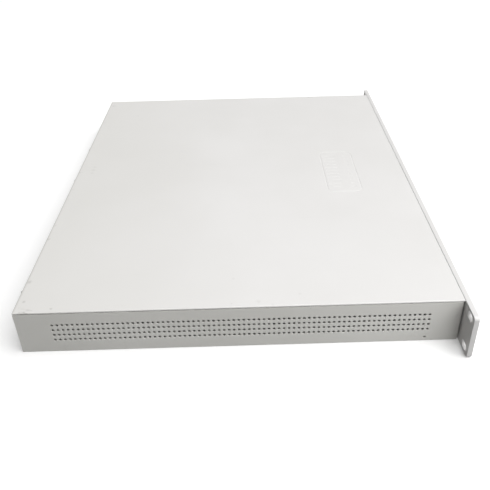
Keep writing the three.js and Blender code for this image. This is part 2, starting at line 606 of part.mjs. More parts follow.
function memoryModule(x) {
  const z0 = ON_BOARD_Z + SOCKET.slotFloor + GAP;
  const y1 = MEMORY.y0 + MEMORY.length;
  const half = MEMORY.thickness / 2;
  const chips = half + MEMORY_CHIPS.proud;
  return join(
    box(x - half, x + half, MEMORY.y0, y1, z0, z0 + MEMORY.height),
    box(x - chips, x + chips, MEMORY.y0 + MEMORY_CHIPS.inset, y1 - MEMORY_CHIPS.inset,
      z0 + MEMORY_CHIPS.z0, z0 + MEMORY_CHIPS.z1),
  );
}

function batteryHolder() {
  const { x, y, radius, height, holder, floor } = BATTERY;
  return cut(
    disc(x, y, holder, ON_BOARD_Z, ON_BOARD_Z + floor + height, FINE),
    disc(x, y, radius + GAP, ON_BOARD_Z + floor, ON_BOARD_Z + floor + height + 1, FINE),
  );
}

function clockBattery() {
  const z0 = ON_BOARD_Z + BATTERY.floor + GAP;
  return disc(BATTERY.x, BATTERY.y, BATTERY.radius, z0, z0 + BATTERY.height, FINE);
}

add("main_board", mainBoard(), CIRCUIT_GREEN);
add("processor", chip(PROCESSOR), CHIP_BLACK);
add("processor_heatsink", heatsink(PROCESSOR, PROCESSOR_SINK), ALUMINIUM);
add("network_controller", chip(CONTROLLER), CHIP_BLACK);
add("controller_heatsink", heatsink(CONTROLLER, CONTROLLER_SINK), ALUMINIUM);
MEMORY.x.forEach((x, i) => {
  add(`memory_socket_${i + 1}`, memorySocket(x), DARK_PLASTIC);
  add(`memory_module_${i + 1}`, memoryModule(x), CIRCUIT_GREEN);
});
add("battery_holder", batteryHolder(), BLACK_PLASTIC);
add("clock_battery", clockBattery(), STEEL);

// ---- Storage ------------------------------------------------------------------------------------
const DRIVE = { x: 164, y0: -150, width: 69.9, depth: 100, height: 7, z0: 8 };
const BRACKET = { overhang: 4, railRise: 6 };

function driveBracket() {
  const half = DRIVE.width / 2 + GAP;
  const [y0, y1] = [DRIVE.y0 - BRACKET.overhang, DRIVE.y0 + DRIVE.depth + BRACKET.overhang];
  const floorZ = DRIVE.z0 - GAP - SHEET;
  const tray = block(DRIVE.x, floorZ + SHEET / 2, 2 * (half + SHEET), SHEET, y0, y1);
  const rails = [-1, 1].map((side) => {
    const x = DRIVE.x + side * (half + SHEET / 2);
    return box(x - SHEET / 2, x + SHEET / 2, y0, y1, WALL_BOTTOM_Z, DRIVE.z0 + BRACKET.railRise);
  });
  return join(tray, ...rails);
}

function storageDrive() {
  return block(DRIVE.x, DRIVE.z0 + DRIVE.height / 2, DRIVE.width, DRIVE.height, DRIVE.y0,
    DRIVE.y0 + DRIVE.depth);
}

add("drive_bracket", driveBracket(), ZINC);
add("storage_drive", storageDrive(), ALUMINIUM);

// ---- Fans ---------------------------------------------------------------------------------------
// Every radius is a share of the fan's side. The struts hold the motor at the outlet, at the rear.
const fanSizes = (fan) => ({
  ...fan,
  bore: fan.side * 0.472,
  tip: fan.side * 0.455,
  hub: fan.side * 0.25,
  screwInset: fan.side * 0.1,
  screw: fan.side * 0.05,
});

function fanFrame(x, rearY, fan) {
  const { side, depth, bore, hub, screwInset, screw } = fanSizes(fan);
  const offsets = [screwInset - side / 2, side / 2 - screwInset];
  const screwHoles = offsets.flatMap((dx) => offsets.map((dz) => ring(x + dx, FAN_Z + dz, screw, HEX)));
  const strutY = rearY - FAN_STRUT;
  const reach = 2 * bore + 1;
  return join(
    alongY(rectangle(x, FAN_Z, side, side), rearY - depth, rearY,
      [ring(x, FAN_Z, bore, FINE), ...screwHoles]),
    roundAlongY(x, FAN_Z, hub, strutY, rearY, MEDIUM),
    block(x, FAN_Z, reach, FAN_STRUT, strutY, rearY),
    block(x, FAN_Z, FAN_STRUT, reach, strutY, rearY),
  );
}

// Blades are pitched boxes, trimmed to a cylinder that clears the frame's bore.
function fanRotor(x, rearY, fan) {
  const { depth, tip, hub } = fanSizes(fan);
  const y0 = rearY - depth + FAN_INTAKE;
  const y1 = rearY - FAN_STRUT - GAP;
  const middleY = (y0 + y1) / 2;
  const blade = new THREE.BoxGeometry(BLADE.thickness, (y1 - y0) * BLADE.share, tip)
    .rotateZ(THREE.MathUtils.degToRad(BLADE.pitch))
    .translate(0, 0, tip / 2 + BLADE.root);
  const blades = Array.from({ length: FAN_BLADES }, (_, i) =>
    blade.clone().rotateY((2 * Math.PI * i) / FAN_BLADES).translate(x, middleY, FAN_Z));
  return common(
    join(roundAlongY(x, FAN_Z, hub, y0, y1, MEDIUM), ...blades),
    roundAlongY(x, FAN_Z, tip, y0, y1, FINE),
  );
}

// Leads run from each fan to the board's rear edge.
function fanLead(x) {
  const z = ON_BOARD_Z + 2;
  const startY = FAN_REAR_Y - CASE_FAN.depth - GAP;
  const endY = BOARD.y0 + BOARD.depth - 8;
  return wire(1.2, 6, 14, [x + 12, startY, z], [x + 12, startY - 30, z], [x + 20, (startY + endY) / 2, z],
    [x + 14, endY + 25, z], [x + 14, endY, z]);
}

FAN_X.forEach((x, i) => {
  add(`fan_frame_${i + 1}`, fanFrame(x, FAN_REAR_Y, CASE_FAN), BLACK_PLASTIC);
  add(`fan_rotor_${i + 1}`, fanRotor(x, FAN_REAR_Y, CASE_FAN), DARK_PLASTIC);
  add(`fan_lead_${i + 1}`, fanLead(x), CABLE_BLACK);
});

// ---- Power supply -------------------------------------------------------------------------------
const supplyFrontY = FAN_REAR_Y - SUPPLY.depth;

// A folded case, open at the rear, where the rear panel closes it, with slots in its front wall.
function supplyCase() {
  const { x0, x1, z0, z1, wall } = SUPPLY;
  const slots = spread(SUPPLY_SLOTS.count, SUPPLY_SLOTS.pitch, SUPPLY_SLOTS.x).map((x) =>
    block(x, FAN_Z, SUPPLY_SLOTS.width, SUPPLY_SLOTS.height, supplyFrontY - 1, supplyFrontY + wall + 1));
  return cut(
    box(x0, x1, supplyFrontY, FAN_REAR_Y, z0, z1),
    box(x0 + wall, x1 - wall, supplyFrontY + wall, FAN_REAR_Y + 1, z0 + wall, z1 - wall),
    ...slots,
  );
}

const supplyBoardZ = SUPPLY.z0 + SUPPLY.wall + SUPPLY_BOARD.rise;

// The supply's circuit: a board with two capacitors and a finned cooler.
function supplyBoard() {
  const { inset, fromFront, depth, thickness, partRise } = SUPPLY_BOARD;
  const [x0, x1] = [SUPPLY.x0 + inset, SUPPLY.x1 - inset];
  const [y0, y1] = [supplyFrontY + fromFront, supplyFrontY + fromFront + depth];
  const partZ = supplyBoardZ + partRise;
  const coolerX = x0 + COOLER.x;
  const [coolerY0, coolerY1] = [y0 + COOLER.margins[0], y1 - COOLER.margins[1]];
  const coolerBase = box(coolerX - COOLER.width / 2, coolerX + COOLER.width / 2, coolerY0, coolerY1,
    partZ, partZ + COOLER.base);
  const fins = spread(COOLER.fins, COOLER.pitch, coolerX).map((x) =>
    box(x - COOLER.fin / 2, x + COOLER.fin / 2, coolerY0, coolerY1, partZ + COOLER.base / 2,
      partZ + COOLER.height));
  const capacitors = CAPACITOR.places.map((dy) =>
    disc(x1 - CAPACITOR.x, y1 - dy, CAPACITOR.radius, partZ, partZ + CAPACITOR.height, FINE));
  const board = box(x0, x1, y0, y1, supplyBoardZ, supplyBoardZ + thickness);
  return join(board, coolerBase, ...fins, ...capacitors);
}

// The core is a block, and the taped winding on it is narrower, longer and taller.
function supplyTransformer() {
  const z0 = supplyBoardZ + SUPPLY_BOARD.thickness + GAP;
  const [x0, y0] = [SUPPLY.x0 + TRANSFORMER.x, supplyFrontY + TRANSFORMER.y];
  const [x1, y1] = [x0 + TRANSFORMER.width, y0 + TRANSFORMER.depth];
  return join(
    box(x0, x1, y0, y1, z0 + TRANSFORMER.bottom, z0 + TRANSFORMER.top),
    box(x0 + WINDING.inset, x1 - WINDING.inset, y0 - WINDING.proud, y1 + WINDING.proud, z0,
      z0 + WINDING.height),
  );
}

// A rectangle whose two upper corners are cut off, about the inlet's middle.
function inletOutline(width, height) {
  const [w, h, c] = [width / 2, height / 2, INLET.chamfer];
  return [[-w, -h], [w, -h], [w, h - c], [w - c, h], [c - w, h], [-w, h - c]]
    .map(([a, b]) => [INLET.x + a, INLET.z + b]);
}

function powerInlet() {
  const faceY = CASE_REAR_Y + REAR_PROUD;
  const floorY = faceY - INLET_CAVITY.depth;
  const pins = INLET_PINS.places.map(([dx, dz]) =>
    block(INLET.x + dx, INLET.z + dz, INLET_PINS.width, INLET_PINS.height, floorY - 1,
      floorY + INLET_PINS.length));
  const flange = roundedRectangle(INLET.x, INLET.z, INLET.flangeW, INLET.flangeH, 2, 2);
  const shell = join(
    alongY(flange, CASE_REAR_Y + GAP, faceY),
    alongY(inletOutline(INLET.bodyW, INLET.bodyH), faceY - INLET.depth, CASE_REAR_Y + 1),
  );
  const cavity = alongY(inletOutline(INLET_CAVITY.width, INLET_CAVITY.height), floorY, faceY + 1);
  return join(cut(shell, cavity), ...pins);
}

// A pin across the rocker turns in the two sides of the bezel.
function pivotPin(radius, sides) {
  const reach = ROCKER.width / 2 + ROCKER.pinReach;
  return alongX(ring(PIVOT_Y, BEZEL.z, radius, sides), BEZEL.x - reach, BEZEL.x + reach);
}

function rockerBezel() {
  const faceY = CASE_REAR_Y + BEZEL.lip;
  const flange = roundedRectangle(BEZEL.x, BEZEL.z, BEZEL.flangeW, BEZEL.flangeH, 1.2, 2);
  return cut(
    join(
      alongY(flange, CASE_REAR_Y + GAP, faceY),
      block(BEZEL.x, BEZEL.z, BEZEL.bodyW, BEZEL.bodyH, faceY - BEZEL.depth, CASE_REAR_Y + 1),
    ),
    block(BEZEL.x, BEZEL.z, ROCKER.width + 2 * GAP, 2 * (ROCKER.radius + GAP), faceY - BEZEL.depth + 2,
      faceY + 1),
    pivotPin(ROCKER.pivotRadius + GAP, MEDIUM),
  );
}

// The ends are arcs about the pivot, and the face is two planes that meet in a shallow valley.
function powerRocker() {
  const rad = THREE.MathUtils.degToRad;
  const at = (radius, degrees) => [
    PIVOT_Y + radius * Math.cos(rad(degrees - ROCKER.tilt)),
    BEZEL.z + radius * Math.sin(rad(degrees - ROCKER.tilt)),
  ];
  const back = 180 - ROCKER.halfAngle;
  const steps = 4;
  const arc = (from, to) =>
    Array.from({ length: steps + 1 }, (_, i) => at(ROCKER.radius, from + ((to - from) * i) / steps));
  const outline = [...arc(ROCKER.halfAngle, back), ...arc(-back, -ROCKER.halfAngle), at(ROCKER.valley, 0)];
  const body = alongX(outline, BEZEL.x - ROCKER.width / 2, BEZEL.x + ROCKER.width / 2);
  return join(body, pivotPin(ROCKER.pivotRadius, MEDIUM));
}

// A threaded stud with its nut, for the protective earth lead.
function earthStud() {
  const { x, z, radius, nutRadius, nut, inside } = EARTH_STUD;
  return join(
    roundAlongY(x, z, radius, CASE_REAR_Y - inside, CASE_REAR_Y + REAR_PROUD, MEDIUM),
    roundAlongY(x, z, nutRadius, CASE_REAR_Y + GAP, CASE_REAR_Y + nut, HEX),
    roundAlongY(x, z, nutRadius, REAR_INNER_Y - nut, REAR_INNER_Y, HEX),
  );
}

// The supply's output leads, to the board's rear edge.
function powerHarness() {
  const [x, z] = [SUPPLY.x0 + 6, FAN_Z - 6];
  const startY = supplyFrontY - GAP;
  const landing = [BOARD.x1 - 24, BOARD.y0 + BOARD.depth - 22];
  return wire(2.6, 8, 14, [x, startY, z], [x, startY - 7, z], [x - 12, startY - 14, z + 2],
    [landing[0] + 5, landing[1] + 3, z], [...landing, ON_BOARD_Z + 3.4]);
}

// From the drive's connector to the board's right edge.
function driveCable() {
  const startX = DRIVE.x - 12;
  const startY = DRIVE.y0 + DRIVE.depth + GAP;
  const z = DRIVE.z0 + DRIVE.height / 2;
  return wire(1.6, 6, 14, [startX, startY, z], [startX, startY + 8, z], [startX - 18, startY + 18, z + 3],
    [BOARD.x1 + 4, startY + 18, z + 4], [BOARD.x1 - 8, startY + 18, ON_BOARD_Z + 2.4]);
}

add("power_supply_case", supplyCase(), ZINC);
add("supply_board", supplyBoard(), CIRCUIT_GREEN);
add("supply_transformer", supplyTransformer(), TRANSFORMER_YELLOW);
add("supply_fan_frame", fanFrame(SUPPLY_FAN_X, FAN_REAR_Y - GAP, SUPPLY_FAN), BLACK_PLASTIC);
add("supply_fan_rotor", fanRotor(SUPPLY_FAN_X, FAN_REAR_Y - GAP, SUPPLY_FAN), DARK_PLASTIC);
add("power_inlet", powerInlet(), BLACK_PLASTIC);
add("rocker_bezel", rockerBezel(), BLACK_PLASTIC);
add("power_rocker", powerRocker(), BLACK_PLASTIC);
add("earth_stud", earthStud(), BRASS);
add("power_harness", powerHarness(), CABLE_BLACK);
add("drive_cable", driveCable(), CABLE_BLACK);

export default appliance;
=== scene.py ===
"""A one-unit rack firewall appliance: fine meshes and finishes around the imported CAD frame.

Sizes below are in millimetres in the CAD frame: +Z up, the front plate faces -Y, +X is right as seen
from the front. Meshes are scaled to metres when they become pieces.
"""
import json
import math
from types import SimpleNamespace as Sizes

import bmesh
import bpy
from mathutils import Matrix, Vector
from mathutils.geometry import delaunay_2d_cdt


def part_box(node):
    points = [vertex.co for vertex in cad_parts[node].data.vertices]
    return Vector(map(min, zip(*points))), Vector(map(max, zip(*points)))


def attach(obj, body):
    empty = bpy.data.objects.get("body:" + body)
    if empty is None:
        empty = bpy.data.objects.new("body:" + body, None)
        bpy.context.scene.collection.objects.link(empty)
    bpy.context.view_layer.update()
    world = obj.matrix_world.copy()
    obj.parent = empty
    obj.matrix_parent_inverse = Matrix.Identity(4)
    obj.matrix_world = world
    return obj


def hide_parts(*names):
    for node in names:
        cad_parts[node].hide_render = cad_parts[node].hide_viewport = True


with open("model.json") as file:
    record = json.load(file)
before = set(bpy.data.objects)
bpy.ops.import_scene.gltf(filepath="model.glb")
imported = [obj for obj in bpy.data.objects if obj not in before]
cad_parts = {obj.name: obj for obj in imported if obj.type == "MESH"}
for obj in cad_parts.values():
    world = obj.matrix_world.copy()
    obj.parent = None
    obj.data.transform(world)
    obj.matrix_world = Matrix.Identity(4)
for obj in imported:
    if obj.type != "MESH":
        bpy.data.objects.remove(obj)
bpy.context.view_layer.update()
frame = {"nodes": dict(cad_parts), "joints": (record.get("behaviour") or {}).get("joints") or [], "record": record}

MM = 0.001
TAU = 2 * math.pi


def box_of(node):
    """A CAD node's lowest and highest corners, in millimetres."""
    low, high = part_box(node)
    return low / MM, high / MM


def extent_of(node):
    """A CAD node's lowest and highest corners and its middle."""
    low, high = box_of(node)
    return low, high, (low + high) / 2


def middle_of(node):
    return extent_of(node)[2]


OPENINGS = {
    opening["name"]: [Vector(corner) / MM for corner in opening["box_m"]]
    for opening in frame["record"]["physics"]["openings"]
}
PIVOTS = {
    joint["child"]: Vector(joint["pos_m"]) / MM
    for joint in frame["joints"]
    if "pos_m" in joint
}


def openings_between(low, high, word):
    """The middles, left to right, of the stated openings whose middle lies between two corners in X."""
    middles = [(a + b) / 2 for name, (a, b) in OPENINGS.items() if word in name]
    return sorted((m for m in middles if low.x < m.x < high.x), key=lambda m: m.x)


def spread(count, pitch, middle=0.0):
    """Evenly spaced places about a middle."""
    return [middle + (i - (count - 1) / 2) * pitch for i in range(count)]


# -- Outlines: lists of (a, b), anticlockwise
def polar(a, b, radius, angle):
    return a + radius * math.cos(angle), b + radius * math.sin(angle)


def ring(a, b, radius, sides=32):
    return [polar(a, b, radius, TAU * i / sides) for i in range(sides)]


def arc(a, b, radius, start, end, steps):
    return [polar(a, b, radius, start + (end - start) * i / steps) for i in range(steps + 1)]


def rectangle(a0, b0, a1, b1):
    return [(a0, b0), (a1, b0), (a1, b1), (a0, b1)]


def rounded(a0, b0, a1, b1, radius, steps):
    """A rectangle with round corners."""
    left, right, low, high = a0 + radius, a1 - radius, b0 + radius, b1 - radius
    points = []
    for quarter, (a, b) in enumerate([(right, high), (left, high), (left, low), (right, low)]):
        points += arc(a, b, radius, quarter * TAU / 4, (quarter + 1) * TAU / 4, steps)
    return points


def pad(a, b, width, height, radius, steps=3):
    """The same, about its middle."""
    return rounded(a - width / 2, b - height / 2, a + width / 2, b + height / 2, radius, steps)


def oblong(a, b, width, height, steps):
    """A slot whose ends are half circles."""
    return pad(a, b, width, height, min(width, height) / 2 - 0.01, steps)


def end_of(low, high, radius, steps=3, inset=0.0):
    """A box's outline as seen along Y, with round corners, set in from its sides."""
    return rounded(low.x + inset, low.z + inset, high.x - inset, high.z - inset, radius, steps)


def mirrored(half):
    """A whole outline from its right half."""
    return half + [(-a, b) for a, b in reversed(half)]


def grown(points, distance):
    """The outline moved outward by a distance, with mitred corners."""
    moved = []
    for i, point in enumerate(points):
        before = Vector(point) - Vector(points[i - 1])
        after = Vector(points[(i + 1) % len(points)]) - Vector(point)
        first = Vector((before.y, -before.x)).normalized()
        second = Vector((after.y, -after.x)).normalized()
        moved.append(tuple(Vector(point) + (first + second) * distance / (1 + first.dot(second))))
    return moved


def contains(outline, point):
    """Whether a point lies inside an outline."""
    crossings = 0
    for i, (a1, b1) in enumerate(outline):
        a0, b0 = outline[i - 1]
        if (b0 > point.y) != (b1 > point.y):
            crossings += point.x < a0 + (point.y - b0) * (a1 - a0) / (b1 - b0)
    return crossings % 2 == 1


def anticlockwise(points):
    area = sum(a0 * b1 - a1 * b0 for (a0, b0), (a1, b1) in zip(points, points[1:] + points[:1]))
    return points if area > 0 else points[::-1]


# -- Solids: bmeshes in millimetres
PLANES = {"x": (1, 2, 0), "y": (0, 2, 1), "z": (0, 1, 2)}  # an outline's two axes, then its normal


def spot(facing, a, b, level):
    """A point of an outline that faces along an axis, at a level on that axis."""
    point = Vector()
    for axis, value in zip(PLANES[facing], (a, b, level)):
        point[axis] = value
    return point


def skin(solid, rows):
    """Quads between each row of vertices and the next. The rows are closed loops."""
    for row, following in zip(rows, rows[1:]):
        for i in range(len(row)):
            j = (i + 1) % len(row)
            solid.faces.new((row[i], row[j], following[j], following[i]))


def fill_flat(solid, facing, loops):
    """Triangles between loops of vertices in one plane: an outline, then the holes in it."""
    first, second, _ = PLANES[facing]
    verts = [vert for loop in loops for vert in loop]
    owners = [index for index, loop in enumerate(loops) for _ in loop]
    outlines = [[(vert.co[first], vert.co[second]) for vert in loop] for loop in loops]
    points = [Vector(point) for outline in outlines for point in outline]
    edges = []
    start = 0
    for loop in loops:
        edges += [(start + i, start + (i + 1) % len(loop)) for i in range(len(loop))]
        start += len(loop)
    _, _, faces, sources, _, _ = delaunay_2d_cdt(points, edges, [], 0, 1e-6, True)
    for face in faces:
        corners = [sources[i][0] for i in face]
        rings = {owners[corner] for corner in corners}
        if len(rings) == 1:
            index = rings.pop()
            centre = sum((points[corner] for corner in corners), Vector((0, 0))) / len(corners)
            if contains(outlines[index], centre) != (index == 0):
                continue
        solid.faces.new([verts[corner] for corner in corners])


def sheet(facing, low, high, outline, holes, edge, steps=2):
    """A flat sheet with holes, from low to high along one axis. Every edge is rounded to a radius."""
    turns = [i / steps * TAU / 4 for i in range(steps + 1)]
    rows = [(low + edge * (1 - math.cos(turn)), edge * (1 - math.sin(turn))) for turn in turns]
    rows += [(low + high - level, inset) for level, inset in reversed(rows)]
    solid = bmesh.new()
    ends = ([], [])
    for index, points in enumerate((outline, *holes)):
        points = anticlockwise(points)
        outward = 1 if index else -1
        rings = [
            [solid.verts.new(spot(facing, a, b, level)) for a, b in grown(points, outward * inset)]
            for level, inset in rows
        ]
        skin(solid, rings)
        ends[0].append(rings[0])
        ends[1].append(rings[-1])
    for loops in ends:
        fill_flat(solid, facing, loops)
    return solid


def layer(y0, y1, outline, holes, edge):
    """A sheet from y0 to y1, which may be one layer of a stack along Y."""
    return sheet("y", y0, y1, outline, holes, edge)


def loft(rings):
    """A skin through rings that have as many points each, closed at both ends."""
    solid = bmesh.new()
    rows = [[solid.verts.new(point) for point in points] for points in rings]
    skin(solid, rows)
    solid.faces.new(rows[0][::-1])
    solid.faces.new(rows[-1])
    return solid


def turned(x, z, profile, sides=32):
    """A turned solid whose axis runs along Y. A radius may also be a function of the angle."""
    rings = []
    for y, radius in profile:
        points = []
        for angle in (TAU * i / sides for i in range(sides)):
            across, up = polar(x, z, radius(angle) if callable(radius) else radius, angle)
            points.append((across, y, up))
        rings.append(points)
    return loft(rings)


def brick(x0, x1, y0, y1, z0, z1, edge, steps=2):
    """A block with round edges."""
    solid = bmesh.new()
    bmesh.ops.create_cube(solid, size=1)
    size = Vector((x1 - x0, y1 - y0, z1 - z0))
    place = Matrix.Translation(((x0 + x1) / 2, (y0 + y1) / 2, (z0 + z1) / 2))
    solid.transform(place @ Matrix.Diagonal((*size, 1)))
    bmesh.ops.bevel(
        solid, geom=solid.edges[:], offset=edge, segments=steps, profile=0.5, affect="EDGES",
    )
    return solid


def ribbon(path, width, thickness, across):
    """A flat strip along a path, with its width along one direction."""
    across = Vector(across).normalized()
    points = [Vector(point) for point in path]
    rings = []
    for i, point in enumerate(points):
        along = points[min(i + 1, len(points) - 1)] - points[max(i - 1, 0)]
        up = along.cross(across).normalized() * thickness / 2
        side = across * width / 2
        rings.append([point - side - up, point + side - up, point + side + up, point - side + up])
    return loft(rings)


def merged(solids):
    """Several solids as one mesh."""
    whole = bmesh.new()
    for solid in solids:
        part = bpy.data.meshes.new("part")
        solid.to_mesh(part)
        solid.free()
        whole.from_mesh(part)
        bpy.data.meshes.remove(part)
    return whole


SHARP = math.radians(50)


def mesh_object(name, solid, finish):
    """Makes a solid into a smooth object with one finish."""
    mesh = bpy.data.meshes.new(name)
    solid.to_mesh(mesh)
    solid.free()
    mesh.materials.append(finish)
    mesh.shade_smooth()
    obj = bpy.data.objects.new(name, mesh)
    bpy.context.scene.collection.objects.link(obj)
    return obj


def piece(name, parts, finish, body="case", node=None):
    """Makes solids into one piece of the object, which stands for a CAD node where one is named."""
    solid = merged(parts)
    bmesh.ops.recalc_face_normals(solid, faces=solid.faces)
    solid.transform(Matrix.Scale(MM, 4))
    obj = mesh_object(name, solid, finish)
    obj.data.set_sharp_from_angle(angle=SHARP)
    weighted = obj.modifiers.new("weighted normals", "WEIGHTED_NORMAL")
    weighted.keep_sharp = True
    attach(obj, body)
    if node:
        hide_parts(node)


# -- Materials
class Finish:
    """A material whose colour, roughness and relief come from nodes in the object's own coordinates."""

    def __init__(self, name, metallic=0.0, roughness=0.5, **sockets):
        self.material = bpy.data.materials.new(name)
        self.material.use_nodes = True
        self.tree = self.material.node_tree
        self.shader = self.tree.nodes["Principled BSDF"]
        for socket, value in {"Metallic": metallic, "Roughness": roughness, **sockets}.items():
            self.shader.inputs[socket.replace("_", " ")].default_value = value
        self.place = self.node("ShaderNodeTexCoord").outputs["Object"]

    def node(self, kind, inputs=None, **settings):
        node = self.tree.nodes.new(kind)
        for key, value in settings.items():
            setattr(node, key, value)
        for key, value in (inputs or {}).items():
            self.feed(value, node.inputs[key])
        return node

    def feed(self, value, socket):
        if isinstance(value, bpy.types.NodeSocket):
            self.tree.links.new(value, socket)
        else:
            socket.default_value = value

    def math(self, operation, first, second=0.0):
        return self.node("ShaderNodeMath", {0: first, 1: second}, operation=operation).outputs[0]

    def times(self, first, second):
        return self.math("MULTIPLY", first, second)

    def stretched(self, *scale):
        """The coordinates scaled by axis, for grain that runs one way."""
        return self.node("ShaderNodeMapping", {"Vector": self.place, "Scale": scale}).outputs[0]

    def noise(self, size, detail, place=None):
        """Noise whose features are about this many millimetres across."""
        inputs = {"Vector": place or self.place, "Scale": 1 / (size * MM), "Detail": detail}
        return self.node("ShaderNodeTexNoise", inputs).outputs["Fac"]

    def ramp(self, value, low, high, to_low=0.0, to_high=1.0):
        """The value from low to high, spread over another range and held at its ends."""
        inputs = {0: value, 1: low, 2: high, 3: to_low, 4: to_high}
        return self.node("ShaderNodeMapRange", inputs, clamp=True).outputs[0]

    def mix(self, factor, first, second):
        """One colour over another. A mix node's colours are its inputs 6 and 7 and its output 2."""
        inputs = {0: factor, 6: rgba(first), 7: rgba(second)}
        return self.node("ShaderNodeMix", inputs, data_type="RGBA").outputs[2]

    def bands(self, direction, scale, distortion):
        inputs = {"Vector": self.place, "Scale": scale, "Distortion": distortion}
        settings = {"wave_type": "BANDS", "bands_direction": direction}
        return self.node("ShaderNodeTexWave", inputs, **settings).outputs["Fac"]

    def clouds(self, size, tint, shade, detail=3, low=0.35, high=0.65):
        """Soft clouds of one colour in another."""
        return self.mix(self.ramp(self.noise(size, detail), low, high), tint, shade)

    def gloss(self, size, roughness, swing, detail=3):
        """Roughness that swings either side of a value, in patches of a size."""
        patches = self.noise(size, detail)
        return self.ramp(patches, 0.3, 0.7, roughness - swing, roughness + swing)

    def axis(self, letter):
        return self.node("ShaderNodeSeparateXYZ", {0: self.place}).outputs["XYZ".index(letter)]

    def finish(self, colour, roughness, relief, depth):
        """Joins colour, roughness and a bump of the given depth in millimetres to the shader."""
        bump = self.node("ShaderNodeBump", {"Height": relief, "Distance": depth * MM, "Strength": 1.0})
        self.feed(rgba(colour), self.shader.inputs["Base Color"])
        self.feed(roughness, self.shader.inputs["Roughness"])
        self.feed(bump.outputs["Normal"], self.shader.inputs["Normal"])
        return self.material


def rgba(colour):
    """A colour with its opacity, unless it already comes from a node."""
    return colour if isinstance(colour, bpy.types.NodeSocket) else (*colour, 1.0)


# grey for rubs, and also for painted shade in a hole and along the cover's edges
GRIME_AND_SHADE = (0.40, 0.39, 0.36)
RUBBED_SPOT = (0.50, 0.48, 0.44)
SCRATCHED_COAT = (0.62, 0.61, 0.58)
REAR_SHADE_COAT = (0.750, 0.742, 0.715)
PEEL = 0.7  # size of the coats' orange peel
PEEL_DEPTH = 0.012


def smudged_and_shaded(f, tone, dark_spots):
    """Ragged grey spots on a coat: rubs, and painted shade where a spot sits in a hole. Each has a place, a radius
    and how strong it is.
    """
    for place, radius, strength in dark_spots:
        inputs = {0: f.place, 1: Vector(place) * MM}
        away = f.node("ShaderNodeVectorMath", inputs, operation="DISTANCE").outputs["Value"]
        ragged = f.math("ADD", away, f.times(f.noise(1.8, 3), 1.2 * radius * MM))
        spot = f.ramp(ragged, 0.8 * radius * MM, 1.6 * radius * MM, strength, 0.0)
        tone = f.mix(spot, tone, GRIME_AND_SHADE)
    return tone


def powder_coat(name, tint, shade, roughness, dark_spots=()):
    """Satin powder coat: an orange-peel skin, faint clouds of tone, a few rubbed spots, and the dark spots it is
    given, some of them painted shade.
    """
    f = Finish(name)
    specks = f.ramp(f.noise(1.6, 1), 0.74, 0.80)
    sparse = f.ramp(f.noise(24, 2), 0.56, 0.66)
    spots = f.times(f.times(specks, sparse), 0.35)
    tone = smudged_and_shaded(f, f.mix(spots, f.clouds(90, tint, shade), RUBBED_SPOT), dark_spots)
    return f.finish(tone, f.gloss(14, roughness, 0.05), f.noise(PEEL, 2), PEEL_DEPTH)


def worn_and_shaded_coat(name, tint, shade, roughness, reach, dark_spots):
    """The cover's coat: as above, with painted shade that makes it darker and a little yellower toward its rear,
    grey rubs within a few millimetres of its edges and a fine line of painted shade along its rear and right
    edges."""
    f = Finish(name)
    half_width, rear = reach
    across, along = f.axis("X"), f.axis("Y")
    # painted shade: the cover grows darker and a little yellower toward its rear
    uneven = f.times(f.math("SUBTRACT", f.noise(70, 2), 0.5), 0.1)
    rear_shade = f.ramp(f.math("ADD", along, uneven), 0.0, rear * MM, 0.0, 0.75)
    tone = f.mix(rear_shade, f.clouds(110, tint, shade), REAR_SHADE_COAT)
    side_gap = f.math("SUBTRACT", half_width * MM, f.math("ABSOLUTE", across))
    right_gap = f.math("SUBTRACT", half_width * MM, across)
    rear_gap = f.math("SUBTRACT", rear * MM, along)
    near_edge = f.ramp(f.math("MINIMUM", side_gap, rear_gap), 0.5 * MM, 7 * MM, 1.0, 0.0)
    rubs = f.ramp(f.noise(5, 3, f.stretched(1, 0.35, 1)), 0.60, 0.68)
    patches = f.ramp(f.noise(38, 2), 0.50, 0.60)
    rubbed = f.times(f.times(f.times(rubs, patches), near_edge), 0.6)
    # painted shade: a thin darker line along the cover's rear and right edges
    line = f.ramp(f.math("MINIMUM", right_gap, rear_gap), 0.6 * MM, 2.2 * MM, 0.4, 0.0)
    tone = smudged_and_shaded(f, f.mix(line, f.mix(rubbed, tone, GRIME_AND_SHADE), GRIME_AND_SHADE), dark_spots)
    hairs = f.ramp(f.noise(2.2, 2, f.stretched(1, 0.04, 1)), 0.70, 0.74)
    scratches = f.times(f.times(hairs, f.ramp(f.noise(60, 2), 0.54, 0.62)), 0.12)
    tone = f.mix(scratches, tone, SCRATCHED_COAT)
    return f.finish(tone, f.gloss(18, roughness, 0.05), f.noise(PEEL, 2), PEEL_DEPTH)


def metal(name, tint, shade, roughness, grain=(1, 1, 1), size=0.6, depth=0.004, cloud=20):
    """Bare or plated metal with a drawn grain and clouds of tone."""
    f = Finish(name, metallic=1.0)
    streaks = f.noise(size, 3, f.stretched(*grain))
    gloss = f.ramp(streaks, 0.25, 0.75, roughness - 0.07, roughness + 0.09)
    return f.finish(f.clouds(cloud, tint, shade, 3, 0.3, 0.7), gloss, streaks, depth)


def spangled_zinc():
    """Zinc-plated sheet, with the faint crystals of its plating."""
    f = Finish("zinc_sheet", metallic=1.0)
    inputs = {"Vector": f.place, "Scale": 1 / (7 * MM)}
    cells = f.node("ShaderNodeTexVoronoi", inputs, feature="F1").outputs["Color"]
    crystal = f.node("ShaderNodeSeparateColor", {0: cells}).outputs[0]
    tone = f.mix(crystal, (0.60, 0.61, 0.62), (0.72, 0.73, 0.73))
    gloss = f.ramp(crystal, 0, 1, 0.30, 0.42)
    return f.finish(tone, gloss, f.noise(0.5, 2), 0.003)


